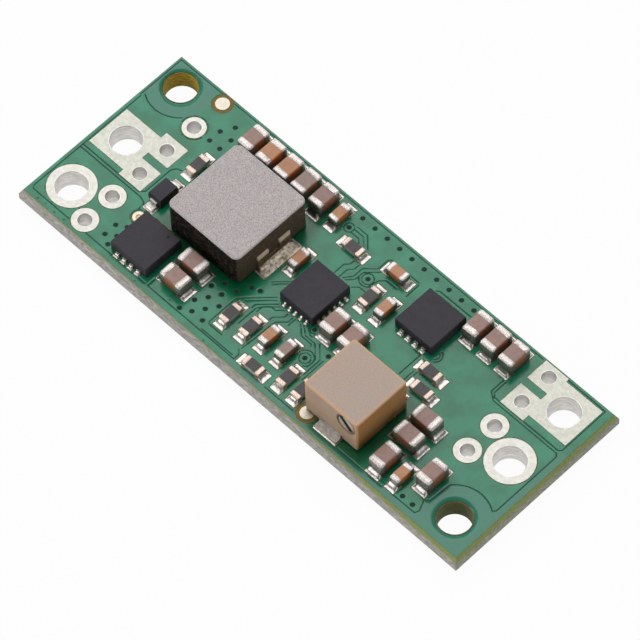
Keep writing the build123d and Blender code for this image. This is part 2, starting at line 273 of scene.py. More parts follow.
# %% Shared node groups
def start_group(name, inputs, outputs):
    """Empty shader group with float inputs (name, default) and outputs (name, socket type)."""
    group = bpy.data.node_groups.new(name, "ShaderNodeTree")
    for title, default in inputs:
        socket = group.interface.new_socket(name=title, in_out="INPUT", socket_type="NodeSocketFloat")
        socket.default_value = default
    for title, kind in outputs:
        group.interface.new_socket(name=title, in_out="OUTPUT", socket_type=kind)
    return group, group.nodes.new("NodeGroupInput"), group.nodes.new("NodeGroupOutput")


grain_group, grain_in, grain_out = start_group(
    "fine_grain", [("Grain Size", 0.1), ("Depth", 0.01), ("Roughness", 0.6)],
    [("Value", "NodeSocketFloat"), ("Normal", "NodeSocketVector")])
per_metre = math_node("DIVIDE", 1 / MM, grain_in.outputs["Grain Size"])
grain_noise = add_node(grain_group, "ShaderNodeTexNoise", inputs={
    "Vector": object_place(grain_group), "Scale": per_metre, "Detail": 3.0,
    "Roughness": grain_in.outputs["Roughness"]})
grain_bump = bump(grain_noise.outputs[0], times(grain_in.outputs["Depth"], MM))
grain_group.links.new(grain_noise.outputs[0], grain_out.inputs["Value"])
grain_group.links.new(grain_bump, grain_out.inputs["Normal"])

cloud_group, cloud_in, cloud_out = start_group(
    "cloudy", [("Patch Size", 1.0), ("Low", 0.4), ("High", 0.6)], [("Value", "NodeSocketFloat")])
cloud_noise = add_node(cloud_group, "ShaderNodeTexNoise", inputs={
    "Vector": object_place(cloud_group), "Detail": 4.0,
    "Scale": math_node("DIVIDE", 1 / MM, cloud_in.outputs["Patch Size"])})
cloud_value = ramp(cloud_noise.outputs[0], cloud_in.outputs["Low"], cloud_in.outputs["High"])
cloud_group.links.new(cloud_value, cloud_out.inputs["Value"])

streak_group, streak_in, streak_out = start_group(
    "layer_streaks", [("Along", 0.4), ("Across", 0.06)], [("Value", "NodeSocketFloat")])
streak_place = split(object_place(streak_group))
streak_scales = [math_node("DIVIDE", 1 / MM, streak_in.outputs[key])
                 for key in ("Along", "Along", "Across")]
streak_vector = add_node(streak_group, "ShaderNodeCombineXYZ", inputs={
    i: times(streak_place[i], streak_scales[i]) for i in range(3)})
streak_noise = add_node(streak_group, "ShaderNodeTexNoise", inputs={
    "Vector": streak_vector.outputs[0], "Scale": 1.0, "Detail": 5.0})
streak_group.links.new(streak_noise.outputs[0], streak_out.inputs["Value"])

print("groups", [group.name for group in bpy.data.node_groups])


# %% Uses of the shared effects
def use_group(tree, group, *values):
    """Places a shared group, sets its inputs in their order and gives its outputs."""
    node = tree.nodes.new("ShaderNodeGroup")
    node.node_tree = group
    for socket, value in zip(node.inputs, values):
        socket.default_value = value
    return node.outputs


def fine_grain(tree, size, depth, roughness=0.6):
    """Value and normal of small bumps. Size and depth are in millimetres."""
    outputs = use_group(tree, grain_group, size, depth, roughness)
    return outputs["Value"], outputs["Normal"]


def cloudy(tree, size, low, high):
    """Soft patches of a size in millimetres: 0 where the noise is below low, 1 where it is above high."""
    return use_group(tree, cloud_group, size, low, high)["Value"]


def layer_streaks(tree, along, across):
    """Streaks of a length and a thickness in millimetres."""
    return use_group(tree, streak_group, along, across)["Value"]


def start_finish(name, roughness, metallic=0.0, specular=0.5):
    """New material, its tree and its Principled shader, with the values that are the same all over it."""
    material = bpy.data.materials.new(name)
    material.use_nodes = True
    shader = material.node_tree.nodes["Principled BSDF"]
    for socket, value in (("Roughness", roughness), ("Metallic", metallic), ("Specular IOR Level", specular)):
        shader.inputs[socket].default_value = value
    return material, material.node_tree, shader


def feed(shader, **values):
    """Joins values that vary over the surface to the shader's inputs, named with underscores for spaces."""
    for name, value in values.items():
        value.id_data.links.new(value, shader.inputs[name.replace("_", " ")])


def coats(colour, *layers):
    """A colour with layers laid over it, each a share and its own colour."""
    for share, tone in layers:
        colour = mix_colour(share, colour, tone)
    return colour


def finish_nodes(material, *names):
    """Puts a finish on CAD nodes."""
    for name in names:
        slots = nodes_by_name[name].material_slots
        if len(slots) == 0:
            nodes_by_name[name].data.materials.append(material)
        for slot in slots:
            slot.material = material


print("finish helpers ready")

# %% [markdown]
# ## Small tools for meshes
#
# Every new piece is a grid of points worked out as whole arrays. A closed shape is a stack of closed
# sections: the last point of a section joins its first, and the two end sections are covered.

# %% Mesh helpers
def grid_quads(rows, columns):
    """Corner numbers of the quads between the points of an open grid, row by row."""
    corner = np.arange(rows * columns).reshape(rows, columns)
    return np.stack([corner[:-1, :-1], corner[:-1, 1:], corner[1:, 1:], corner[1:, :-1]], -1).reshape(-1, 4)


def tube_quads(rows, columns, ends=True):
    """Quads of stacked closed sections. An end is covered by quads from point i to its opposite number."""
    corner = np.arange(rows * columns).reshape(rows, columns)
    nxt = np.roll(corner, -1, axis=1)
    quads = [np.stack([corner[:-1], nxt[:-1], nxt[1:], corner[1:]], -1).reshape(-1, 4)]
    if ends:
        i = np.arange(columns // 2 - 1)
        for section, flip in ((corner[0], True), (corner[-1], False)):
            cover = section[np.stack([i, i + 1, columns - 2 - i, columns - 1 - i], -1)]
            quads.append(cover[:, ::-1] if flip else cover)
    return np.concatenate(quads)


def copies(quads, points_each, count):
    """The same quads for a number of equal shapes whose points follow each other."""
    return (quads[None] + np.arange(count)[:, None, None] * points_each).reshape(-1, quads.shape[1])


def make_piece(name, points, faces, material, replaces=(), values=None, sharp=40, turn_out=True):
    """Mesh object from points in millimetres, riding on the board, with named values at its points."""
    mesh = bpy.data.meshes.new(name)
    mesh.from_pydata(np.asarray(points, float).reshape(-1, 3) * MM, [], faces)
    for key, value in (values or {}).items():
        field = mesh.attributes.new(key, "FLOAT", "POINT")
        field.data.foreach_set("value", np.asarray(value, np.float32).ravel())
    if turn_out:
        work = bmesh.new()
        work.from_mesh(mesh)
        bmesh.ops.recalc_face_normals(work, faces=work.faces)
        work.to_mesh(mesh)
        work.free()
    mesh.shade_smooth()
    mesh.set_sharp_from_angle(angle=math.radians(sharp))
    piece = bpy.data.objects.new(name, mesh)
    bpy.context.scene.collection.objects.link(piece)
    mesh.materials.append(material)
    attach(piece, "board")
    if replaces:
        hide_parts(*replaces)
    return piece


def node_box(name):
    """Lowest and highest corner of a CAD node in millimetres."""
    low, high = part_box(name)
    return np.array(low) / MM, np.array(high) / MM


print("mesh helpers ready")

# %% [markdown]
# ## Where the copper is bare
#
# The green varnish leaves every pad open. The openings are rectangles under the chips and leads, and
# circles round the holes, so one distance function describes them all: negative inside an opening,
# positive on the varnish. The parts' middles come from the CAD nodes, and the lands' sizes are the usual
# ones for 0805 and 0603 chips and for leads at a pitch of 0.65 and 0.5 mm.

# %% Openings in the varnish
CAPS_0805 = ([f"input_capacitor_{i}" for i in range(1, 6)] + [f"output_capacitor_{i}" for i in range(1, 4)]
             + [f"bulk_capacitor_{i}" for i in range(1, 9)])
CAPS_0603 = [f"bypass_capacitor_{i}" for i in range(1, 8)]
RESISTORS = [f"chip_resistor_{i}" for i in range(1, 11)]
TOP_Z = 1.6
PAD_Z = 1.64


def chip_axis(name):
    """Middle of a chip and 0 or 1 for the axis that its length follows."""
    low, high = node_box(name)
    return (low + high) / 2, int(high[1] - low[1] > high[0] - low[0])


def middle_of(name, axes=(0, 1)):
    """Middle of a part along two of the axes, to a thousandth of a millimetre."""
    low, high = node_box(name)
    return np.round((low + high) / 2, 3)[list(axes)]


lands = []
for names, span, length, width in ((CAPS_0805, 2.7, 0.8, 1.2), (CAPS_0603 + RESISTORS, 2.5, 0.8, 0.86)):
    for name in names:
        middle, along = chip_axis(name)
        for side in (-1, 1):
            x, y = middle[:2] + side * (span - length) / 2 * np.eye(2)[along]
            lands.append((x, y, length, width) if along == 0 else (x, y, width, length))
print(len(lands), "lands under chips")

# %% Lands of the larger parts
STRAP_LAND_OUT, STRAP_LAND = 2.9, (2.65, 3.55)
DIODE_LAND_OUT, DIODE_LAND = 1.1, (0.9, 0.9)
LEAD_PITCH, LEAD_OUT, LEAD_LAND = 0.65, 1.65, (0.42, 0.66)
TOE_PITCH, END_TOE_OUT, SIDE_TOE_OUT, TOE_WIDTH, TOE_LENGTH = 0.5, 1.75, 1.5, 0.26, 0.64
TRIM_LAND_OUT, TRIM_FRONT_LAND = 2.375, (2.05, 1.3)
TRIM_REAR_APART, TRIM_REAR_LAND = 1.27, (1.3, 1.3)

IND_X, IND_Y = middle_of("inductor_core")
lands += [(IND_X + side * STRAP_LAND_OUT, IND_Y, *STRAP_LAND) for side in (-1, 1)]
DIODE_X, DIODE_Y = middle_of("rectifier_diode")
lands += [(DIODE_X, DIODE_Y + side * DIODE_LAND_OUT, *DIODE_LAND) for side in (-1, 1)]
transistor_leads = [(x + (i - 1.5) * LEAD_PITCH, y + side * LEAD_OUT, side)
                    for x, y in (middle_of("left_transistor"), middle_of("right_transistor"))
                    for i in range(4) for side in (-1, 1)]
lands += [(x, y + side * 0.02, *LEAD_LAND) for x, y, side in transistor_leads]
CTRL_X, CTRL_Y = middle_of("controller")
end_toes = [(CTRL_X + (i - 2) * TOE_PITCH, CTRL_Y + side * END_TOE_OUT, side)
            for i in range(5) for side in (-1, 1)]
side_toes = [(CTRL_X + side * SIDE_TOE_OUT, CTRL_Y + (i - 2.5) * TOE_PITCH, side)
             for i in range(6) for side in (-1, 1)]
lands += [(x, y - side * 0.04, TOE_WIDTH, TOE_LENGTH) for x, y, side in end_toes]
lands += [(x - side * 0.04, y, TOE_LENGTH, TOE_WIDTH) for x, y, side in side_toes]
TRIM_X, TRIM_Y = middle_of("trimmer_housing")
lands += [(TRIM_X, TRIM_Y - TRIM_LAND_OUT, *TRIM_FRONT_LAND)]
lands += [(TRIM_X + side * TRIM_REAR_APART, TRIM_Y + TRIM_LAND_OUT, *TRIM_REAR_LAND) for side in (-1, 1)]
print(len(lands), "lands in all")

# %% Holes, rings and power pads
PIN_PITCH = 2.54
PIN_HOLE_R, WIRE_HOLE_R, MOUNT_OPENING_R = 0.51, 1.15, 1.23
SMALL_RING_R, PIN_RING_R, WIRE_RING_R = 0.845, 0.945, 1.73
PIN_TAB, POWER_PAD = (2.05, 1.95), (3.52, 3.52)
left_pins = [(-15.376, 3.956 - PIN_PITCH * i) for i in range(5)]
right_pins = [(15.098, 6.449 - PIN_PITCH * i) for i in range(4)]
wire_holes = [(-17.93, 0.1), (-17.93, -4.96), (17.63, 5.25), (17.63, 0.17)]
mount_holes = [(-18.33, 5.6), (18.0, -5.33)]
fiducials = [(-15.37, 6.63), (5.66, -6.4)]
test_via = (-12.97, -3.55)
big_pads = [(*hole, *POWER_PAD) for hole in (wire_holes[0], wire_holes[2])]
big_pads += [(*pin, *PIN_TAB) for pin in left_pins[1:3] + right_pins[1:2]] + [(15.098, 6.377, 2.05, 1.806)]
rings = [(*left_pins[0], SMALL_RING_R)] + [(*pin, PIN_RING_R) for pin in left_pins[3:] + right_pins[2:]]
rings += [(*hole, WIRE_RING_R) for hole in (wire_holes[1], wire_holes[3])]
print(len(rings), "rings,", len(big_pads), "power pads and tabs")


# %% Distance functions
def rectangle_distance(x, y, table):
    """Distance from the nearest rectangle (middle, length, width): beyond a side it is how far beyond."""
    cx, cy, length, width = np.array(table, float).T[:, :, None]
    dx, dy = np.abs(x - cx) - length / 2, np.abs(y - cy) - width / 2
    return (np.hypot(np.maximum(dx, 0), np.maximum(dy, 0)) + np.minimum(np.maximum(dx, dy), 0)).min(0)


def circle_distance(x, y, table):
    """Distance from the nearest circle (middle, radius): how far from the middle, less the radius."""
    cx, cy, r = np.array(table, float).T[:, :, None]
    return (np.hypot(x - cx, y - cy) - r).min(0)


def nearest_on_line(x, y, route):
    """Distance from a bent line and the nearest spot on it: on each run that is the foot of the
    perpendicular, kept within the run's ends, and the nearest run wins."""
    route = np.array(route, float)
    a, b = route[:-1, :, None], route[1:, :, None]
    run = b - a
    t = np.clip(((x - a[:, 0]) * run[:, 0] + (y - a[:, 1]) * run[:, 1]) / (run ** 2).sum(1), 0, 1)
    px, py = a[:, 0] + t * run[:, 0], a[:, 1] + t * run[:, 1]
    gap = np.hypot(x - px, y - py)
    best, i = gap.argmin(0), np.arange(len(x))
    return gap[best, i], px[best, i], py[best, i]


def arc(cx, cy, r, start=0, end=360):
    """Points on a circle between two angles in degrees, 12 degrees or less apart, or all round."""
    angle = np.radians(np.linspace(start, end, int(abs(end - start) // 12) + 2))
    return list(zip(cx + r * np.cos(angle), cy + r * np.sin(angle)))


LAND_GAP, PAD_GAP, RING_GAP = 0.05, 0.03, 0.04
FIDUCIAL_OPENING_R, TEST_OPENING_R = 0.78, 0.5


def opening_distance(x, y):
    """Below zero where the varnish is left open, with a narrow gap round each piece of bare metal."""
    return np.minimum.reduce([
        rectangle_distance(x, y, lands) - LAND_GAP, rectangle_distance(x, y, big_pads) - PAD_GAP,
        circle_distance(x, y, rings) - RING_GAP,
        circle_distance(x, y, [(*p, FIDUCIAL_OPENING_R) for p in fiducials]),
        circle_distance(x, y, [(*p, MOUNT_OPENING_R) for p in mount_holes]),
        circle_distance(x, y, [(*test_via, TEST_OPENING_R)])])


print("distance functions ready")


# %% [markdown]
# ## Tracks under the varnish
#
# Copper lifts the varnish a little and shows through it as a paler green. Where the copper is etched
# away there is a dark, shallow groove. The grooves are bent lines read off the photograph, each with its
# width, and the plugged holes between the copper layers are dimples.

# %% Grooves
grooves = [
    # round the mounting hole, the pads and the pin holes of the left end
    (0.15, arc(*mount_holes[0], 2.45, 236, 318)),
    (0.12, [(-19.8, 3.3), (-19.8, -6.7), (-19.65, -6.87), (-9.0, -6.87)]),
    (0.14, [(-19.8, -2.12), (-14.4, -2.12), (-14.1, -1.85), (-14.1, 0.5), (-13.9, 0.85), (-13.5, 1.0)]),
    (0.14, [(-19.8, -2.37), (-14.0, -2.37), (-13.5, -2.55), (-13.45, -3.1)]),
    (0.10, [(-19.9, 3.4), (-19.9, 7.2), (13.9, 7.2)]),
    (0.06, arc(*left_pins[0], 0.95)),
    (0.10, arc(*test_via, 0.58)),
    # round the power pad and the mounting hole of the right end
    (0.12, [(13.33, 4.3), (13.33, 3.2), (13.6, 2.91), (19.3, 2.9), (19.5, 3.1), (19.5, 7.15), (16.1, 7.17)]),
    (0.12, [(13.12, 4.3), (13.12, 3.1), (13.7, 2.68), (19.35, 2.68), (19.55, 2.5), (19.55, -3.1),
            (19.4, -3.28)]),
    (0.14, arc(*mount_holes[1], 2.46, 55, 142) + [(16.05, -4.1), (15.95, -5.6), (15.6, -5.72)]),
    (0.12, [(15.65, -5.75), (16.0, -6.55), (15.85, -6.87), (13.9, -6.87)]),
    # beside the right transistor
    (0.12, [(5.2, 6.08), (5.4, 6.22), (8.3, 6.22)]),
    (0.12, arc(8.62, 2.5, 0.5, -60, 75)), (0.10, arc(8.62, 2.5, 0.3, -60, 75)),
    (0.10, [(7.3, 1.87), (7.88, 1.87), (7.88, -0.15)]),
    (0.08, [(8.42, 0.65), (8.42, -0.2)]), (0.08, [(8.64, 0.75), (8.64, -0.2)]),
    # the controller's tracks, above it
    (0.09, arc(-2.38, 5.59, 0.37)),
    (0.09, [(-2.0, 6.0), (-1.05, 6.0), (-0.25, 5.2)]), (0.09, [(-1.97, 5.72), (-1.15, 5.72), (-0.62, 5.2)]),
    (0.09, [(-1.97, 5.42), (-1.3, 5.42), (-1.05, 5.15)]),
    (0.09, [(-0.62, 2.4), (-0.62, 3.3), (-0.3, 3.65), (-0.3, 4.0)]),
    (0.09, [(-0.15, 2.4), (-0.15, 3.2), (0.15, 3.5), (0.15, 4.0)]),
    (0.09, [(0.3, 2.5), (0.75, 3.0), (0.75, 3.75), (1.25, 4.25), (1.6, 4.6)]),
    (0.09, [(0.05, 2.5), (0.5, 3.1), (0.5, 3.9), (1.28, 4.65), (1.28, 5.6), (1.45, 5.72), (3.95, 5.72),
            (4.1, 5.55), (4.1, 4.4)]),
    (0.09, arc(1.35, 3.6, 0.42)), (0.09, arc(1.35, 3.6, 0.62, 200, 330)),
    (0.09, [(0.95, 2.35), (1.35, 2.75), (2.0, 2.75)]),
    (0.09, [(1.75, 3.15), (1.95, 4.0), (2.3, 4.37), (3.2, 4.37)]),
    # the controller's tracks, below it
    (0.09, [(-2.15, -0.05), (-3.05, -0.95)]), (0.09, [(-2.15, -0.3), (-2.95, -1.1)]),
    (0.09, [(-1.95, -1.55), (-3.6, -3.2), (-3.85, -3.5), (-3.85, -6.0), (-3.7, -6.13), (-2.5, -6.13)]),
    (0.09, [(-1.75, -1.7), (-3.3, -3.2)]), (0.09, [(-1.5, -1.85), (-2.6, -2.95), (-2.6, -3.3)]),
    (0.09, [(-1.3, -1.95), (-2.2, -2.85), (-2.37, -3.1), (-2.37, -4.7)]),
    (0.09, [(-0.95, -1.95), (-1.3, -2.35), (-1.75, -2.35), (-2.15, -2.75), (-2.15, -3.3)]),
    (0.09, [(-0.55, -1.95), (-0.55, -2.3), (-1.1, -2.85), (-1.1, -3.1)]),
    (0.09, [(-0.1, -1.95), (-0.1, -2.4), (-0.7, -3.0), (-0.85, -5.9)]), (0.09, [(0.1, -1.95), (0.1, -2.6)]),
    (0.09, [(0.62, -1.95), (1.3, -2.55), (2.2, -2.55), (2.3, -2.7)]),
    (0.09, [(0.85, -1.85), (1.45, -2.35), (2.35, -2.35), (3.2, -3.15), (3.2, -4.0)]),
    (0.09, [(1.15, -1.65), (1.65, -2.12), (2.55, -2.12), (3.45, -3.0), (3.45, -4.6)]),
    (0.09, arc(2.64, -3.58, 0.4)), (0.08, arc(2.64, -3.58, 0.62, -60, 200)),
    (0.08, arc(1.58, -1.6, 0.3)), (0.08, [(3.68, -2.9), (3.68, -4.9)]),
    # along the lower edge
    (0.11, [(-8.72, -5.7), (-8.72, -6.87), (-0.75, -6.87)]), (0.09, [(-3.85, -6.72), (-0.95, -6.72)]),
    (0.09, [(-0.95, -6.1), (-0.65, -6.4), (-0.65, -6.87)]), (0.10, [(2.3, -6.95), (4.9, -6.95)]),
    (0.10, [(9.0, -6.95), (13.0, -6.95)]), (0.09, [(13.95, -5.4), (13.95, -6.75)]),
]
print(len(grooves), "grooves")

# %% Plugged holes, bare laminate and nicks
via_row = [(-2.22 + 1.14 * i, 6.72) for i in range(10)]
vias = via_row + [
    (-13.39, 5.88), (-13.91, 4.97), (-12.88, 4.97), (-13.91, 3.97), (-12.94, 3.97),
    (-13.63, -5.05), (-13.63, -6.04), (-12.94, -4.65), (-12.94, -5.6), (-12.92, -6.46),
    (-5.72, -3.93), (-4.74, -3.93), (-5.22, -4.71), (-4.21, -4.71), (-5.72, -5.48), (-4.72, -5.48),
    (-5.22, -6.22), (-4.22, -6.23), (-6.0, -6.6), (-5.2, -3.2), (-4.2, -3.1), (-3.7, -2.2), (-3.12, -1.98),
    (-2.38, 5.59), (1.35, 3.6), (2.64, -3.58), (1.58, -1.6), (3.66, -2.42), (14.46, -6.52), (15.36, -6.52)]
bare_boxes = [(10, -7.6, 22, 1.46), (20.4, -3, 1.8, 12), (17.9, -6.9, 4.0, 2.3), (-18.9, 6.3, 2.8, 2.4),
              (-1.65, -4.3, 1.2, 1.3), (-1.5, -2.9, 0.7, 0.5), (0.75, -3.2, 1.6, 0.8), (-2.9, -5.3, 0.7, 0.8),
              (1.6, -4.6, 0.7, 0.7), (2.5, 3.2, 1.3, 0.8), (5.5, -5.6, 1.2, 1.2)]
bare_rounds = [(*mount_holes[1], 2.46), (*mount_holes[0], 2.45)]
nicks = [(-18.9, -7.17), (-18.2, -7.12), (-17.3, -7.2), (-16.4, -7.14), (-9.6, -7.2), (-6.9, -6.6),
         (-3.1, -7.25)]
print(len(vias), "plugged holes,", len(nicks), "nicks")

# %% [markdown]
# ## The varnish sheet
#
# The sheet is one height field over the board's top, with real openings. Points near an opening's edge
# are moved onto the edge along the distance function's slope, and points near a groove onto its middle
# line. That keeps holes round and grooves thin in spite of the square grid.

# %% Heights of the varnish
STEP = 0.085
HALF_LENGTH, HALF_WIDTH = 20.07, 7.37
COPPER_LIFT, GROOVE_LIFT, LEAST_LIFT = 0.030, 0.008, 0.004
DIMPLE_DEPTH, BARE_DROP = 0.02, 0.006
VIA_R, NICK_R = 0.19, 0.065


def smooth_step(value, start, end):
    """0 before start, 1 after end, and 3t^2 - 2t^3 between."""
    t = np.clip((value - start) / (end - start), 0, 1)
    return t * t * (3 - 2 * t)


def groove_share(x, y):
    """1 on a groove's middle, falling in a straight line to 0 beside it; and how far the nearest groove is,
    with its spot."""
    share, best = np.zeros_like(x), np.full_like(x, np.inf)
    spot_x, spot_y = x.copy(), y.copy()
    for width, route in grooves:
        gap, px, py = nearest_on_line(x, y, route)
        share = np.maximum(share, 1 - gap / (0.45 * width + 0.03))
        closer = gap < best
        best, spot_x, spot_y = (np.where(closer, new, old)
                                for new, old in ((gap, best), (px, spot_x), (py, spot_y)))
    return np.clip(share, 0, 1), best, spot_x, spot_y


def varnish(x, y):
    """Height over the laminate and its shares, at flat arrays of places: groove, dimple, bare (no copper
    below) and dip (1 at a mounting hole's edge, falling to 0 half a millimetre away)."""
    groove = groove_share(x, y)[0]
    to_via, to_nick = (circle_distance(x, y, [(*p, 0) for p in spots]) for spots in (vias, nicks))
    dimple = 1 - smooth_step(to_via, VIA_R - 0.09, VIA_R + 0.05)
    dimple = np.maximum(dimple, 0.8 * (1 - smooth_step(to_nick, NICK_R - 0.035, NICK_R + 0.035)))
    bare = np.minimum(rectangle_distance(x, y, bare_boxes), circle_distance(x, y, bare_rounds))
    bare = 1 - smooth_step(bare, -0.08, 0.04)
    dip = np.clip(1 - circle_distance(x, y, [(*p, MOUNT_OPENING_R) for p in mount_holes]) / 0.5, 0, 1) ** 2
    edge = smooth_step(-rectangle_distance(x, y, [(0, 0, 2 * HALF_LENGTH, 2 * HALF_WIDTH)]), 0, 0.15)
    height = COPPER_LIFT - (COPPER_LIFT - GROOVE_LIFT) * groove - DIMPLE_DEPTH * dimple - BARE_DROP * bare
    height = height * (0.4 + 0.6 * edge) * (1 - 0.85 * dip)
    return np.maximum(height, LEAST_LIFT), {"groove": groove, "dimple": dimple, "bare": bare, "dip": dip}


print("varnish", COPPER_LIFT, "mm thick over copper")

# %% Grid of the varnish
columns = int(round(2 * HALF_LENGTH / STEP)) + 1
rows = int(round(2 * HALF_WIDTH / STEP)) + 1
grid_x, grid_y = np.meshgrid(np.linspace(-HALF_LENGTH, HALF_LENGTH, columns),
                             np.linspace(-HALF_WIDTH, HALF_WIDTH, rows))
grid_x, grid_y = grid_x.ravel(), grid_y.ravel()
inner = (np.abs(grid_x) < HALF_LENGTH) & (np.abs(grid_y) < HALF_WIDTH)
to_edge = opening_distance(grid_x, grid_y)
probe = 0.004
slope_x = (opening_distance(grid_x + probe, grid_y) - opening_distance(grid_x - probe, grid_y)) / (2 * probe)
slope_y = (opening_distance(grid_x, grid_y + probe) - opening_distance(grid_x, grid_y - probe)) / (2 * probe)
near = (np.abs(to_edge) < 0.56 * STEP) & inner
sheet_x = np.where(near, grid_x - to_edge * slope_x, grid_x)
sheet_y = np.where(near, grid_y - to_edge * slope_y, grid_y)

# a groove halfway between two points pulls only one of them, because a hair's breadth is added on one side
_, to_groove, spot_x, spot_y = groove_share(grid_x, grid_y)
to_groove += 0.02 * STEP * np.sign(spot_x - grid_x + spot_y - grid_y)
on_groove = (to_groove < 0.5 * STEP) & (to_edge > 0.6 * STEP) & inner
sheet_x, sheet_y = np.where(on_groove, spot_x, sheet_x), np.where(on_groove, spot_y, sheet_y)
to_edge = np.where(near, 0.0, to_edge)
print(columns, "x", rows, "points,", int(near.sum()), "moved onto an edge")

# %% [markdown]
# Walls go down from every rim to the laminate, and the underside is filled in, so the sheet is closed. Its
# colour tells what lies below: bright over copper, greyer over bare laminate, dark in the grooves and
# dimples. Round the feet of the two tall parts the green is painted deeper as painted shade.

# %% Faces and walls of the sheet
quads = grid_quads(rows, columns)
quads = quads[to_edge[quads].min(1) >= 0]
kept, numbers = np.unique(quads, return_inverse=True)
quads = numbers.reshape(-1, 4)
sheet_x, sheet_y = sheet_x[kept], sheet_y[kept]
lift, shares = varnish(sheet_x, sheet_y)
top = np.column_stack([sheet_x, sheet_y, TOP_Z + lift])
edges = np.stack([quads, np.roll(quads, -1, axis=1)], -1).reshape(-1, 2)
keys = np.sort(edges, axis=1)
_, first, count = np.unique(keys[:, 0] * len(top) + keys[:, 1], return_index=True, return_counts=True)
rim = edges[first[count == 1]]
rim_points, rim_numbers = np.unique(rim, return_inverse=True)
rim_numbers = rim_numbers.reshape(-1, 2) + len(top)
foot = top[rim_points] * (1, 1, 0) + (0, 0, TOP_Z)
walls = np.column_stack([rim[:, 1], rim[:, 0], rim_numbers[:, 0], rim_numbers[:, 1]])
print(len(quads), "faces on top,", len(walls), "walls")


# %% Finish of the varnish
# painted shade round the inductor and the trimmer: its reach in millimetres and how much deeper green it
# paints
SHADE_REACH = 1.3
SHADE_SHARE = 0.8
GLOSSY = 0.17
DIP_DEPTH = 0.16


def beside(place, node, reach):
    """1 at the foot of a part and 0 a reach away: the larger of the two distances beyond its box."""
    low, high = (corner * MM for corner in node_box(node))
    middle, half = (low + high) / 2, (high - low) / 2
    beyond = [math_node("SUBTRACT", apart(place[k], middle[k]), half[k]) for k in (0, 1)]
    return ramp(larger(*beyond), reach, 0.2 * reach)


def solder_mask_material():
    """Green varnish: greyer where no copper lies below, dark and dull in grooves and dimples, painted deeper
    green as painted shade round the feet of the two tall parts, glossy elsewhere."""
    material, tree, shader = start_finish("green_varnish", GLOSSY)
    place = split(object_place(tree))
    # painted shade: deeper green near the feet of the inductor and the trimmer
    painted_shade = larger(*[beside(place, name, SHADE_REACH * MM) for name in ("inductor_core", "trimmer_housing")])
    groove = ramp(attribute(tree, "groove"), 0.15, 0.85)
    dimple = ramp(attribute(tree, "dimple"), 0.1, 0.65)
    dip = attribute(tree, "dip")
    green = mix_colour(cloudy(tree, 1.6, 0.35, 0.65), (0.003, 0.178, 0.083), (0.009, 0.242, 0.124))
    colour = coats(green, (attribute(tree, "bare"), (0.028, 0.200, 0.125)),
                   (times(painted_shade, SHADE_SHARE), (0.0002, 0.080, 0.022)), (groove, (0.002, 0.066, 0.037)),
                   (ramp(dip, 0.6, 1.0), (0.050, 0.075, 0.014)), (dimple, (0.001, 0.030, 0.019)))
    dull = times(larger(groove, dimple), 0.65)
    feed(shader, Base_Color=colour, Roughness=math_node("ADD", dull, GLOSSY),
         Normal=bump(dip, -DIP_DEPTH, Normal=fine_grain(tree, 0.16, 0.006)[1]))
    return material


sheet_shares = {key: np.concatenate([share, share[rim_points]]) for key, share in shares.items()}
sheet = make_piece("green_varnish", np.concatenate([top, foot]), np.concatenate([quads, walls]),
                   solder_mask_material(), turn_out=False, values=sheet_shares)
print("varnish starts with", len(sheet.data.polygons), "faces")


# %% Underside of the sheet
def close_below(mesh):
    """Fills the sheet from below, opens the holes again and leaves no edge open. Gives what is still open."""
    work = bmesh.new()
    work.from_mesh(mesh)
    rim_edges = [edge for edge in work.edges if edge.is_boundary]
    filled = bmesh.ops.triangle_fill(work, use_beauty=False, use_dissolve=False, edges=rim_edges,
                                     normal=(0, 0, -1))
    filled = [part for part in filled["geom"] if isinstance(part, bmesh.types.BMFace)]
    centres = np.array([face.calc_center_median()[:2] for face in filled]) / MM
    over_holes = opening_distance(*centres.T) < -0.001
    bmesh.ops.delete(work, geom=[face for face, over in zip(filled, over_holes) if over], context="FACES")
    slivers = [None]
    while slivers:  # faces without width, stacked where a rim runs straight, come off one layer a round
        slivers = list({face for edge in work.edges if len(edge.link_faces) > 2
                        for face in edge.link_faces if any(side.is_boundary for side in face.edges)})
        bmesh.ops.delete(work, geom=slivers, context="FACES")
    bmesh.ops.holes_fill(work, edges=[edge for edge in work.edges if edge.is_boundary], sides=0)
    bmesh.ops.recalc_face_normals(work, faces=work.faces)
    work.to_mesh(mesh)
    still_open = sum(edge.is_boundary for edge in work.edges)
    work.free()
    return still_open


still_open = close_below(sheet.data)
print("varnish", len(sheet.data.polygons), "faces,", still_open, "edges left open")

# %% [markdown]
# ## The laminate
#
# The board is snapped out of a larger panel along scored lines. The score cuts leave clean slopes, and
# the break between them shows torn glass fibres: grey tan at the long side, greener at the right end. On
# top the bare laminate is olive. The holes for the mounting screws show the same resin, which is amber at
# the left end and olive at the right. The underside has the green varnish too.

# %% Laminate
SIDE_X, SIDE_Y = 20.0, 7.3


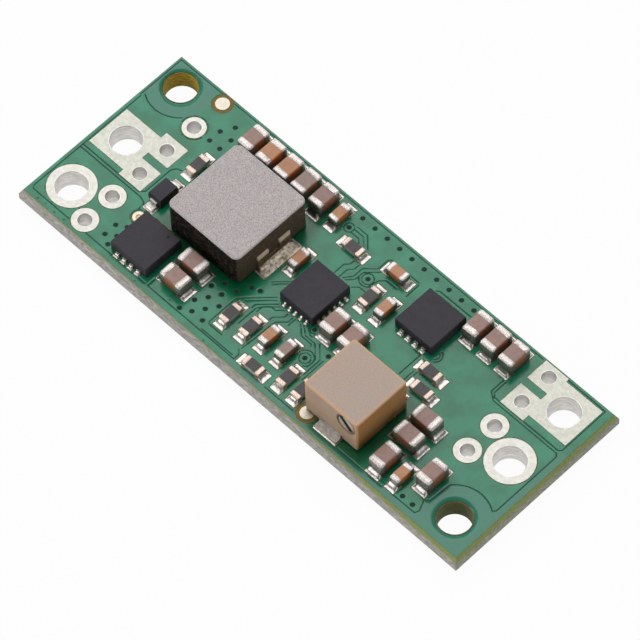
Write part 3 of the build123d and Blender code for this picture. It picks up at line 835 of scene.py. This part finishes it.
def laminate_material():
    """Olive resin, torn fibres at the sides, green underside: chosen by the place and the normal."""
    material, tree, shader = start_finish("glass_laminate", 0.6, specular=0.3)
    place, normal = split(object_place(tree)), surface_normal(tree)
    streaks = layer_streaks(tree, 0.35, 0.07)
    to_right = ramp(normal[0], 0.3, 0.8)
    fibres = mix_colour(ramp(streaks, 0.36, 0.66),
                        mix_colour(to_right, (0.325, 0.305, 0.28), (0.25, 0.26, 0.19)),
                        mix_colour(to_right, (0.61, 0.585, 0.545), (0.47, 0.50, 0.375)))
    to_left = ramp(place[0], 10 * MM, -10 * MM)
    resin = mix_colour(ramp(streaks, 0.4, 0.6),
                       mix_colour(to_left, (0.070, 0.078, 0.004), (0.34, 0.24, 0.004)),
                       mix_colour(to_left, (0.140, 0.165, 0.010), (0.60, 0.46, 0.012)))
    beyond = [ramp(math_node("ABSOLUTE", place[k]), half * MM, (half + 0.05) * MM)
              for k, half in ((0, SIDE_X), (1, SIDE_Y))]
    at_rim = larger(*beyond)
    wander = times(math_node("SUBTRACT", streaks, 0.5), 0.8 * MM)
    wider = times(ramp(place[0], 0.0, 18 * MM), 0.24 * MM)
    height = math_node("ADD", place[2], math_node("ADD", wander, wider))
    green_band = times(ramp(height, 1.46 * MM, 1.62 * MM), at_rim)
    colour = coats(resin, (at_rim, fibres), (green_band, (0.31, 0.36, 0.095)),
                   (ramp(normal[2], 0.9, 0.99), (0.190, 0.135, 0.030)),
                   (ramp(normal[2], -0.9, -0.99), (0.010, 0.195, 0.095)))
    feed(shader, Base_Color=colour, Normal=bump(streaks, 0.06))
    return material


finish_nodes(laminate_material(), "circuit_board")
print("laminate on the board")

# %% [markdown]
# ## Tinned copper and plated holes
#
# The pads are dipped in tin, which sets with a faint mottle and a soft sheen. The two square power pads
# are a little duller than the rest, and the round marks and the test point are warmer, as if gilded. The
# lining of each hole is tin too. The CAD model has the holes but no lining, so a thin sleeve is revolved
# for each: its lip lies over the pad's edge and its lower flange is the ring on the underside.

# %% Tin
def tin_material(name, bright, dark, roughness, grain_size, depth, streaky=False):
    """Metal in two near tones, in small patches or in level streaks, with fine bumps."""
    material, tree, shader = start_finish(name, roughness, metallic=1.0)
    if streaky:
        tone = ramp(layer_streaks(tree, 0.6, 0.12), 0.35, 0.65)
    else:
        tone = cloudy(tree, 0.22, 0.3, 0.7)
    feed(shader, Base_Color=mix_colour(tone, dark, bright), Normal=fine_grain(tree, grain_size, depth)[1])
    return material


PLATINGS = {
    "pad_tin": ((0.585, 0.575, 0.530), (0.500, 0.490, 0.445), 0.09, 0.007,
                ("left_wire_eyelet", "right_wire_eyelet", "enable_pin_eyelet", "left_pin_eyelets",
                 "right_pin_eyelets", "surface_pads")),
    "plate_tin": ((0.515, 0.515, 0.460), (0.430, 0.430, 0.380), 0.09, 0.007,
                  ("left_power_pad", "right_power_pad")),
    "gilded_pad": ((0.66, 0.595, 0.48), (0.56, 0.49, 0.38), 0.12, 0.006, ("test_point",)),
    "fiducial_tin": ((0.62, 0.575, 0.50), (0.55, 0.50, 0.42), 0.12, 0.006, ("fiducial_marks",))}
for name, (bright, dark, grain_size, depth, nodes) in PLATINGS.items():
    finish_nodes(tin_material(name, bright, dark, 0.5, grain_size, depth), *nodes)
hole_tin = tin_material("hole_tin", (0.80, 0.78, 0.75), (0.62, 0.60, 0.575), 0.55, 0.12, 0.008, streaky=True)
print("platings", list(PLATINGS))

# %% Hole linings
LINING = 0.02
PIN_RING_BELOW_R, WIRE_RING_BELOW_R = 0.9, 1.65


def lining_profile(hole_r, ring_r):
    """Closed outline (radius, height): lip on the pad, wall down the hole, ring below, back up inside the
    laminate."""
    return np.array([
        (hole_r + 0.05, PAD_Z + 0.004), (hole_r + 0.01, PAD_Z + 0.002), (hole_r - LINING, PAD_Z - 0.03),
        (hole_r - LINING, 0.8), (hole_r - LINING, 0.01), (hole_r, -0.02), (hole_r + 0.04, -0.03),
        (ring_r - 0.02, -0.03), (ring_r, -0.015), (ring_r, 0.002), (hole_r + 0.005, 0.002),
        (hole_r + 0.005, TOP_Z + 0.02)])


def revolve(centres, profiles, turns=48):
    """Rings of a closed outline turned about Z: x = cx + r cos a, y = cy + r sin a, z stays."""
    angle = np.linspace(0, 2 * math.pi, turns, endpoint=False)[None, :, None]
    centres = np.array(centres, float)[:, None, None]
    r, z = profiles[:, None, :, 0], profiles[:, None, :, 1]
    return np.stack([centres[..., 0] + r * np.cos(angle), centres[..., 1] + r * np.sin(angle),
                     np.broadcast_to(z, r.shape[:1] + (turns,) + r.shape[2:])], -1)


hole_table = [(p, PIN_HOLE_R, PIN_RING_BELOW_R) for p in left_pins + right_pins]
hole_table += [(p, WIRE_HOLE_R, WIRE_RING_BELOW_R) for p in wire_holes]
profiles = np.stack([lining_profile(hole_r, ring_r) for _, hole_r, ring_r in hole_table])
lining_points = revolve([p for p, _, _ in hole_table], profiles)
turns, outline = lining_points.shape[1:3]
torus = tube_quads(turns + 1, outline, ends=False) % (turns * outline)
linings = make_piece("hole_linings", lining_points, copies(torus, turns * outline, len(hole_table)), hole_tin,
                     sharp=35)
print(len(hole_table), "linings,", len(linings.data.polygons), "faces")

# %% [markdown]
# The plated hole of the test point is filled to the top with solder that has taken on copper, so a low
# warm dome closes it. It is a quarter circle turned round the hole, with a flat foot inside the ring.

# %% Plug of the test point
PLUG_R, PLUG_FOOT_Z, PLUG_Z, PLUG_RISE = 0.195, 1.59, 1.598, 0.022
plug_tin = tin_material("plug_tin", (0.56, 0.40, 0.27), (0.44, 0.30, 0.19), 0.5, 0.08, 0.006)
dome = np.radians(np.linspace(88, 0, 7))
upper = np.column_stack([PLUG_R * np.cos(dome), PLUG_Z + PLUG_RISE * np.sin(dome)])
lower = upper[::-1] * (1, 0) + (0, PLUG_FOOT_Z)
plug_points = revolve([test_via], np.concatenate([upper, lower])[None], turns=24)
plug_sections = np.swapaxes(plug_points[0], 0, 1)
plug = make_piece("test_point_plug", plug_sections, tube_quads(*plug_sections.shape[:2]), plug_tin)
print("plug", len(plug.data.polygons), "faces")

# %% [markdown]
# ## Chips with dipped ends
#
# A chip capacitor is a fired brown block whose ends are dipped in metal paste, so the ends are a little
# thicker and their corners are round. Each chip is a stack of sections: across it is a superellipse,
# |y/a|^n + |z/b|^n = 1, nearly a rectangle, and along it the half sizes a and b shrink at both ends like a
# quarter circle. The values `metal_end` and `glaze` say where the metal and a resistor's dark cover are,
# and `low` grows towards the board, where the capacitors are painted darker as painted shade.

# %% Chip shapes
def chip_stations(length, end, corner, step):
    """Place along the half length, how far the section draws in, and the share of metal, from the middle
    out. The corner is a quarter circle."""
    bend = np.radians([90, 67, 45, 22, 0])
    place = [0, 0.45 * length / 2, length / 2 - end - 0.03, length / 2 - end]
    draw = [step, step, step, 0.0]
    metal = [0, 0, 0, 1]
    place += list(length / 2 - 0.012 - corner * (1 - np.cos(bend)))
    draw += list(corner * (1 - np.sin(bend)))
    metal += [1] * 5
    return np.array(place), np.array(draw), np.array(metal, float)


def chip_points(length, width, height, end, corner, step, power, rng, around=36):
    """Points (station, around, 3) about the chip's middle, its length along X, with metal and glaze shares.
    The dipped ends have rounder sections than the body and swell by a few waves of random phase."""
    place, draw, metal = chip_stations(length, end, corner, step)
    a, b = width / 2 - draw, height / 2 - draw
    place = np.append(place, [length / 2 - 0.006, length / 2])
    a, b = np.append(a, [a[-1] * 0.75, a[-1] * 0.35]), np.append(b, [b[-1] * 0.75, b[-1] * 0.35])
    metal = np.append(metal, [1, 1])
    place = np.concatenate([-place[:0:-1], place])
    a, b, metal = (np.concatenate([v[:0:-1], v])[:, None] for v in (a, b, metal))
    angle = (np.arange(around) + 0.5) * 2 * math.pi / around
    cos, sin = np.cos(angle)[None], np.sin(angle)[None]
    power = power - metal * 0.5 * power
    phase = rng.uniform(0, 2 * math.pi, (2, 3))[(place > 0).astype(int)]
    swell = 1 + 0.012 * metal * sum(np.sin((k + 2) * angle + phase[:, k:k + 1]) for k in range(3))
    y = a * np.sign(cos) * np.abs(cos) ** (2 / power) * swell
    z = b * np.sign(sin) * np.abs(sin) ** (2 / power) * swell
    bow = (np.abs(np.abs(place[:, None]) - (length / 2 - end)) < 0.04) * end * (
        0.09 * (1 - (y / a) ** 2) * rng.uniform(0.3, 1.4) + 0.05 * rng.uniform(-1, 1) * y / a)
    x = place[:, None] - np.sign(place[:, None]) * bow
    glaze = (1 - metal) * smooth_step(z / b, 0.9, 0.97)
    # share of painted shade, rising towards the board
    low = 0.85 * (1 - smooth_step(z / height, -0.45, 0.38))
    return np.stack([x, y, z], -1), {"metal_end": np.broadcast_to(metal, y.shape), "glaze": glaze, "low": low}


def make_chip(name, node, material, size, rng):
    """One chip set down in its node's place, turned by as little as hand placement does."""
    length, width, height, end, corner, step, power = size
    points, shares = chip_points(length, width, height, end, corner, step, power, rng)
    middle, along = chip_axis(node)
    angle = along * math.pi / 2 + math.radians(rng.uniform(-0.6, 0.6))
    c, s = math.cos(angle), math.sin(angle)
    x, y = points[..., 0] * c - points[..., 1] * s, points[..., 0] * s + points[..., 1] * c
    points = np.stack([x, y, points[..., 2]], -1) + middle
    return make_piece(name, points, tube_quads(*points.shape[:2]), material, replaces=(node,), sharp=50,
                      values=shares)


# %% Finish of the capacitors
def capacitor_material(name, body, body_dark):
    """Brown fired body, dull on top, with matt metal ends. The sides are painted a warmer brown and their
    metal darker, as painted shade and painted reflection, and towards the board both are painted darker as
    painted shade."""
    material, tree, shader = start_finish(name, 0.4)
    # `low` carries the painted shade towards the board
    ends, painted_low_shade = attribute(tree, "metal_end"), attribute(tree, "low")
    value, normal = fine_grain(tree, 0.06, 0.004)
    spots = ramp(value, 0.42, 0.60)
    # painted shade and reflection: the sides get a warmer, deeper brown and darker metal than the top
    upright = ramp(surface_normal(tree)[2], 0.7, 0.3)
    painted_side_shade = tuple(c * k for c, k in zip(body, (1.3, 0.85, 0.5)))
    ceramic = coats(mix_colour(cloudy(tree, 0.35, 0.3, 0.7), body_dark, body), (upright, painted_side_shade),
                    (painted_low_shade, tuple(0.15 * c for c in painted_side_shade)))
    painted_side_reflection = mix_colour(spots, (0.16, 0.13, 0.11), (0.60, 0.56, 0.51))
    metal = coats(mix_colour(spots, (0.50, 0.445, 0.425), (0.85, 0.80, 0.77)), (upright, painted_side_reflection),
                  (painted_low_shade, (0.12, 0.10, 0.085)))
    feed(shader, Base_Color=mix_colour(ends, ceramic, metal), Metallic=times(ends, 0.85),
         Roughness=math_node("ADD", times(ends, 0.12), 0.38), Normal=normal)
    return material


taupe = capacitor_material("fired_taupe", (0.335, 0.202, 0.168), (0.285, 0.165, 0.136))
tan = capacitor_material("fired_tan", (0.530, 0.240, 0.110), (0.450, 0.200, 0.088))
grey = capacitor_material("fired_grey", (0.340, 0.235, 0.200), (0.290, 0.198, 0.168))
capacitor_tone = {name: tan for name in ["input_capacitor_2", "input_capacitor_3"] + CAPS_0603}
capacitor_tone.update(input_capacitor_4=grey, bypass_capacitor_5=grey)
print(len(capacitor_tone), "capacitors that are not taupe")

# %% [markdown]
# A chip resistor is a white alumina plate. Its resistive film on top is covered by a dark glaze, and its
# ends are tinned. The cover is bare here: the real one carries a value code.


# %% Finish of the resistors
def resistor_material():
    """White alumina, dark glaze on top between the tinned ends."""
    material, tree, shader = start_finish("resistor_glaze", 0.4)
    ends, glaze = attribute(tree, "metal_end"), attribute(tree, "glaze")
    value, normal = fine_grain(tree, 0.05, 0.004)
    spots = ramp(value, 0.40, 0.62)
    alumina = mix_colour(spots, (0.42, 0.38, 0.35), (0.55, 0.50, 0.46))
    dark = mix_colour(spots, (0.018, 0.012, 0.012), (0.050, 0.038, 0.038))
    metal = mix_colour(spots, (0.42, 0.31, 0.25), (0.72, 0.60, 0.53))
    feed(shader, Base_Color=coats(alumina, (glaze, dark), (ends, metal)), Metallic=times(ends, 0.85),
         Normal=normal)
    return material


# %% All chips
SIZE_0805 = (2.0, 1.25, 1.25, 0.45, 0.16, 0.03, 14)
SIZE_0603 = (1.6, 0.8, 0.8, 0.35, 0.12, 0.02, 14)
SIZE_RESISTOR = (1.6, 0.8, 0.45, 0.3, 0.05, 0.012, 14)
glazed = resistor_material()
rng = np.random.default_rng(5)
for names, size in ((CAPS_0805, SIZE_0805), (CAPS_0603, SIZE_0603)):
    for name in names:
        make_chip(f"{name}_block", name, capacitor_tone.get(name, taupe), size, rng)
for name in RESISTORS:
    make_chip(f"{name}_block", name, glazed, SIZE_RESISTOR, rng)
print(len(CAPS_0805) + len(CAPS_0603), "capacitors and", len(RESISTORS), "resistors")

# %% [markdown]
# ## Solder joints
#
# Molten solder climbs up the metal end of a part and runs out thinly to the pad's edge, which leaves a
# hollow slope. In each joint the height falls as (1 - s)^p from the part's face, s = 0, to the pad's
# edge, s = 1, and rounds off to both sides as 1 - |t|^8. All joints are worked out in one array. The two
# wide joints at the coil's straps are duller, browned by flux, so they are a piece of their own.

# %% Slopes of solder
def solder_joints(table, rows=9, columns=11, steep=2.6, skin=0.02):
    """Closed slopes for rows of (x, y, out x, out y, run, width, height): points (joint, row, around, 3)."""
    x, y, out_x, out_y, run, width, height = np.array(table, float).T[:, :, None, None]
    s = np.concatenate([[-0.25], np.linspace(0, 1, rows - 1) ** 1.3])[None, :, None]
    t = np.sin(np.linspace(-1, 1, columns) * math.pi / 2)[None, None, :]
    slope = np.clip(1 - s, 0, 1) ** steep
    across = 1 - np.abs(t) ** 8
    z = PAD_Z + (height * slope + skin * (1 - np.clip(s, 0, 1) ** 8)) * across
    side = t * width / 2 * (1 - 0.06 * slope)
    px, py = x + out_x * run * s - out_y * side, y + out_y * run * s + out_x * side
    px, py, z = np.broadcast_arrays(px, py, z)
    upper = np.stack([px, py, z], -1)
    lower = np.stack([px, py, np.full_like(z, PAD_Z - 0.01)], -1)[:, :, ::-1]
    return np.concatenate([upper, lower], 2)


CHIP_JOINTS = ((CAPS_0805, 1.35, 1.2, 0.42), (CAPS_0603, 1.25, 0.86, 0.32), (RESISTORS, 1.25, 0.86, 0.2))
LEAD_JOINT, TOE_JOINT, DIODE_JOINT = (0.29, 0.38, 0.16), (0.3, 0.22, 0.18), (0.25, 0.86, 0.16)
TRIM_REAR_JOINT, TRIM_FRONT_JOINT = (0.42, 1.28, 0.3), (0.42, 2.03, 0.12)
STRAP_OUT, STRAP_JOINT = 3.37, (0.85, 3.5, 0.14)

joints = []
for names, reach, width, climb in CHIP_JOINTS:
    for name in names:
        low, high = node_box(name)
        middle, along = chip_axis(name)
        half = (high - low)[along] / 2
        for side in (-1, 1):
            out = side * np.eye(2)[along]
            face = middle[:2] + out * (half - 0.03)
            joints.append((*face, *out, (reach - half + 0.03) * rng.uniform(0.93, 1),
                           width * rng.uniform(0.92, 1), climb * rng.uniform(0.6, 1.15)))
joints += [(x, y + side * 0.06, 0, side, *LEAD_JOINT) for x, y, side in transistor_leads]
joints += [(x, y - side * 0.02, 0, side, *TOE_JOINT) for x, y, side in end_toes]
joints += [(x - side * 0.02, y, side, 0, *TOE_JOINT) for x, y, side in side_toes]
joints += [(DIODE_X, DIODE_Y + side * 1.3, 0, side, *DIODE_JOINT) for side in (-1, 1)]
joints += [(TRIM_X + side * TRIM_REAR_APART, TRIM_Y + 2.6, 0, 1, *TRIM_REAR_JOINT) for side in (-1, 1)]
joints.append((TRIM_X, TRIM_Y - 2.6, 0, -1, *TRIM_FRONT_JOINT))
strap_joints = [(IND_X + side * STRAP_OUT, IND_Y, side, 0, *STRAP_JOINT) for side in (-1, 1)]


# %% Solder
def pour_solder(name, table, metal):
    """One piece with a closed slope for every row of a table of joints."""
    points = solder_joints(table)
    around = points.shape[1] * points.shape[2]
    return make_piece(name, points, copies(tube_quads(*points.shape[1:3]), around, len(table)), metal,
                      sharp=60)


solder_metal = tin_material("solder", (0.66, 0.63, 0.60), (0.46, 0.43, 0.40), 0.3, 0.22, 0.022)
foot_metal = tin_material("foot_solder", (0.43, 0.38, 0.33), (0.13, 0.100, 0.062), 0.34, 0.3, 0.02)
for name, table, metal in (("solder_joints", joints, solder_metal),
                           ("inductor_solder", strap_joints, foot_metal)):
    print(name, len(pour_solder(name, table, metal).data.polygons), "faces")

# %% [markdown]
# ## Inductor
#
# The coil is pressed into a block of iron powder. Its top is ground and sprayed a light warm grey, and
# the sides keep the near-black skin of the press; the side facing right is painted a little lighter and
# browner as painted light. One material tells them apart by the normal.

# %% Inductor finish
def powder_material():
    """Speckled light paint on top, dark pressed skin on the sides, painted lighter and browner as painted
    light where it faces right.
    """
    material, tree, shader = start_finish("pressed_powder", 0.65, specular=0.15)
    facing = surface_normal(tree)
    value, normal = fine_grain(tree, 0.06, 0.02, roughness=0.75)
    paint = mix_colour(ramp(value, 0.36, 0.60), (0.338, 0.300, 0.299), (0.648, 0.588, 0.586))
    # painted light: the skin facing right is made lighter and browner
    to_right = ramp(facing[0], 0.5, 0.9)
    deep = mix_colour(to_right, (0.002, 0.0013, 0.0008), (0.088, 0.067, 0.046))
    speck = mix_colour(to_right, (0.062, 0.041, 0.029), (0.150, 0.107, 0.074))
    skin = mix_colour(cloudy(tree, 0.22, 0.45, 0.72), deep, speck)
    feed(shader, Base_Color=mix_colour(ramp(facing[2], 0.3, 0.6), skin, paint), Normal=normal)
    return material


finish_nodes(powder_material(), "inductor_core")
print("inductor finished")

# %% [markdown]
# The ends of the coil come out as flat straps that are tinned, bent down the sides and soldered to the
# board. Low down they are olive with flux, and a band along their bent tops is painted bright tan as a
# painted highlight.

# %% Straps and leads
def base_colour_of(material):
    """The tree, the shader and the socket that feeds its colour so far, so that more can be laid over it."""
    shader = material.node_tree.nodes["Principled BSDF"]
    return material.node_tree, shader, shader.inputs["Base Color"].links[0].from_socket


def strap_material():
    """Tin over copper on the coil's straps, with a painted highlight of bright tan along the bent tops."""
    material = tin_material("terminal_tin", (0.50, 0.42, 0.27), (0.36, 0.29, 0.17), 0.42, 0.15, 0.008)
    tree, shader, strap = base_colour_of(material)
    top_z = node_box("inductor_right_terminal")[1][2]
    # painted highlight: bright tan, without metal sheen, near the straps' tops
    painted_highlight = ramp(split(object_place(tree))[2], (top_z - 0.45) * MM, (top_z - 0.25) * MM)
    feed(shader, Base_Color=mix_colour(painted_highlight, strap, (0.98, 0.76, 0.60)),
         Metallic=math_node("SUBTRACT", 1.0, painted_highlight))
    return material


finish_nodes(strap_material(), "inductor_left_terminal", "inductor_right_terminal")
lead_tin = tin_material("lead_tin", (0.64, 0.62, 0.58), (0.46, 0.44, 0.41), 0.45, 0.14, 0.012)
finish_nodes(lead_tin, "left_transistor_leads", "right_transistor_leads", "controller_lands", "diode_leads",
             "trimmer_terminals")
print("straps and leads finished")

# %% [markdown]
# ## Moulded packages
#
# The transistors, the controller and the diode are black epoxy with a fine matt grain from the mould,
# which looks dark grey in soft light. A small round pit in the left transistor marks its first lead. The
# packages carry no lettering here.

# %% Moulded epoxy
PIN_MARK, PIN_MARK_R = (-9.99, -3.67), 0.15


def epoxy_material(name, tone, roughness):
    """Charcoal moulding with faint purple in its lighter grains, and one small round moulded pin mark."""
    material, tree, shader = start_finish(name, roughness)
    darker, lighter, lightest = (tuple(share * c for c in tone) for share in (0.62, 1.08, 1.35))
    value, normal = fine_grain(tree, 0.08, 0.008)
    fine = mix_colour(ramp(value, 0.35, 0.65), darker, lighter)
    place = split(object_place(tree))
    pit = ramp(off_axis(place[0], place[1], PIN_MARK), PIN_MARK_R * MM, (PIN_MARK_R - 0.05) * MM)
    colour = coats(fine, (times(cloudy(tree, 0.6, 0.3, 0.7), 0.35), lightest), (pit, (0.002, 0.002, 0.002)))
    feed(shader, Base_Color=colour, Normal=normal)
    return material


epoxy = epoxy_material("moulded_epoxy", (0.030, 0.026, 0.035), 0.68)
finish_nodes(epoxy, "left_transistor", "right_transistor", "controller", "rectifier_diode", "trimmer_element")
print("packages finished")

# %% [markdown]
# ## Trimmer
#
# The square trimmer is moulded in a pale, slightly translucent tan. Its top is frosted and painted paler as a
# painted sheen, its right side is painted amber as painted light coming through and darker low down as
# painted shade, and its edges carry a painted highlight. The plated screw sits in one side and turns the
# wiper inside.
# The slot of the screw and the ring round it are painted dark as painted shade.

# %% Trimmer housing
# width of the band along the trimmer's edges that is painted as a highlight
EDGE_HIGHLIGHT_BAND = 0.24
SCREW_AXIS = middle_of("adjusting_screw", (0, 2))
SCREW_RING_R = 0.92


def near_edges(place, name):
    """1 along the upright edges and the top rim of a box, where two of its sides are near at once."""
    low, high = node_box(name)
    middle, half = (low + high) / 2, (high - low) / 2
    near = [ramp(apart(place[k], middle[k] * MM), (half[k] - EDGE_HIGHLIGHT_BAND) * MM,
                 (half[k] - 0.02) * MM) for k in (0, 1)]
    near.append(ramp(place[2], (high[2] - EDGE_HIGHLIGHT_BAND) * MM, (high[2] - 0.02) * MM))
    pairs = [math_node("MINIMUM", near[k], near[k - 1]) for k in range(3)]
    return larger(pairs[0], larger(pairs[1], pairs[2]))


def trimmer_material():
    """Tan moulding: the top is frosted and painted paler as a painted sheen, the right side painted amber as
    painted light coming through and darker low down as painted shade, a painted highlight along the edges,
    and a ring of painted shade round the screw on the front."""
    material, tree, shader = start_finish("trimmer_moulding", 0.45)
    value, normal = fine_grain(tree, 0.1, 0.008)
    place, facing = split(object_place(tree)), surface_normal(tree)
    # the top is painted paler than the sides: frosting and a painted sheen
    pale = mix_colour(ramp(value, 0.35, 0.65), (0.455, 0.345, 0.280), (0.525, 0.405, 0.335))
    skin = mix_colour(cloudy(tree, 1.3, 0.3, 0.7), (0.42, 0.285, 0.195), (0.50, 0.335, 0.235))
    # painted light and shade: the right side amber, as if lit through, and darker towards the board
    rise = ramp(place[2], 1.7 * MM, 3.9 * MM)
    amber = mix_colour(rise, (0.25, 0.125, 0.035), (0.47, 0.235, 0.085))
    # painted highlight: a warm light colour along the edges
    glow = times(near_edges(place, "trimmer_housing"), 0.75)
    # painted shade: a dark ring round the screw on the front face
    off_screw = off_axis(place[0], place[2], SCREW_AXIS)
    ring = ramp(off_screw, SCREW_RING_R * MM, (SCREW_RING_R - 0.14) * MM)
    ring = times(ring, ramp(facing[2], 0.6, 0.3))
    ring = times(ring, ramp(place[1], TRIM_Y * MM, (TRIM_Y - 0.3) * MM))
    colour = coats(skin, (ramp(facing[0], 0.3, 0.9), amber), (ramp(facing[2], 0.3, 0.9), pale),
                   (glow, (0.66, 0.40, 0.19)), (ring, (0.13, 0.080, 0.055)))
    feed(shader, Base_Color=colour, Normal=normal)
    shader.inputs["Subsurface Weight"].default_value = 0.6
    shader.inputs["Subsurface Radius"].default_value = (1.0, 0.40, 0.12)
    shader.inputs["Subsurface Scale"].default_value = 0.7 * MM
    return material


finish_nodes(trimmer_material(), "trimmer_housing", "trimmer_rotor")
print("trimmer housing finished")


# %% Adjusting screw
def screw_material():
    """Brass plating on the screw's end, painted dark and dull as painted shade along the slot, which runs at
    45 degrees, and in the bore."""
    material = tin_material("screw_plating", (0.62, 0.55, 0.48), (0.48, 0.41, 0.35), 0.35, 0.08, 0.006)
    tree, shader, plated = base_colour_of(material)
    face = node_box("adjusting_screw")[0][1] * MM
    place = split(object_place(tree))
    off_x, off_z = (math_node("SUBTRACT", place[k], centre * MM)
                    for k, centre in zip((0, 2), SCREW_AXIS))
    off_slot = math_node("ABSOLUTE", math_node("ADD", off_x, off_z))
    # painted shade: dark along the slot, and deeper in than the screw's face
    slot_shade = times(ramp(off_slot, 0.46 * MM, 0.26 * MM), 0.93)
    inside = larger(slot_shade, ramp(place[1], face + 0.02 * MM, face + 0.10 * MM))
    feed(shader, Base_Color=mix_colour(inside, plated, (0.020, 0.014, 0.010)),
         Metallic=math_node("SUBTRACT", 1.0, inside))
    return material


finish_nodes(screw_material(), "adjusting_screw")
print("screw finished")
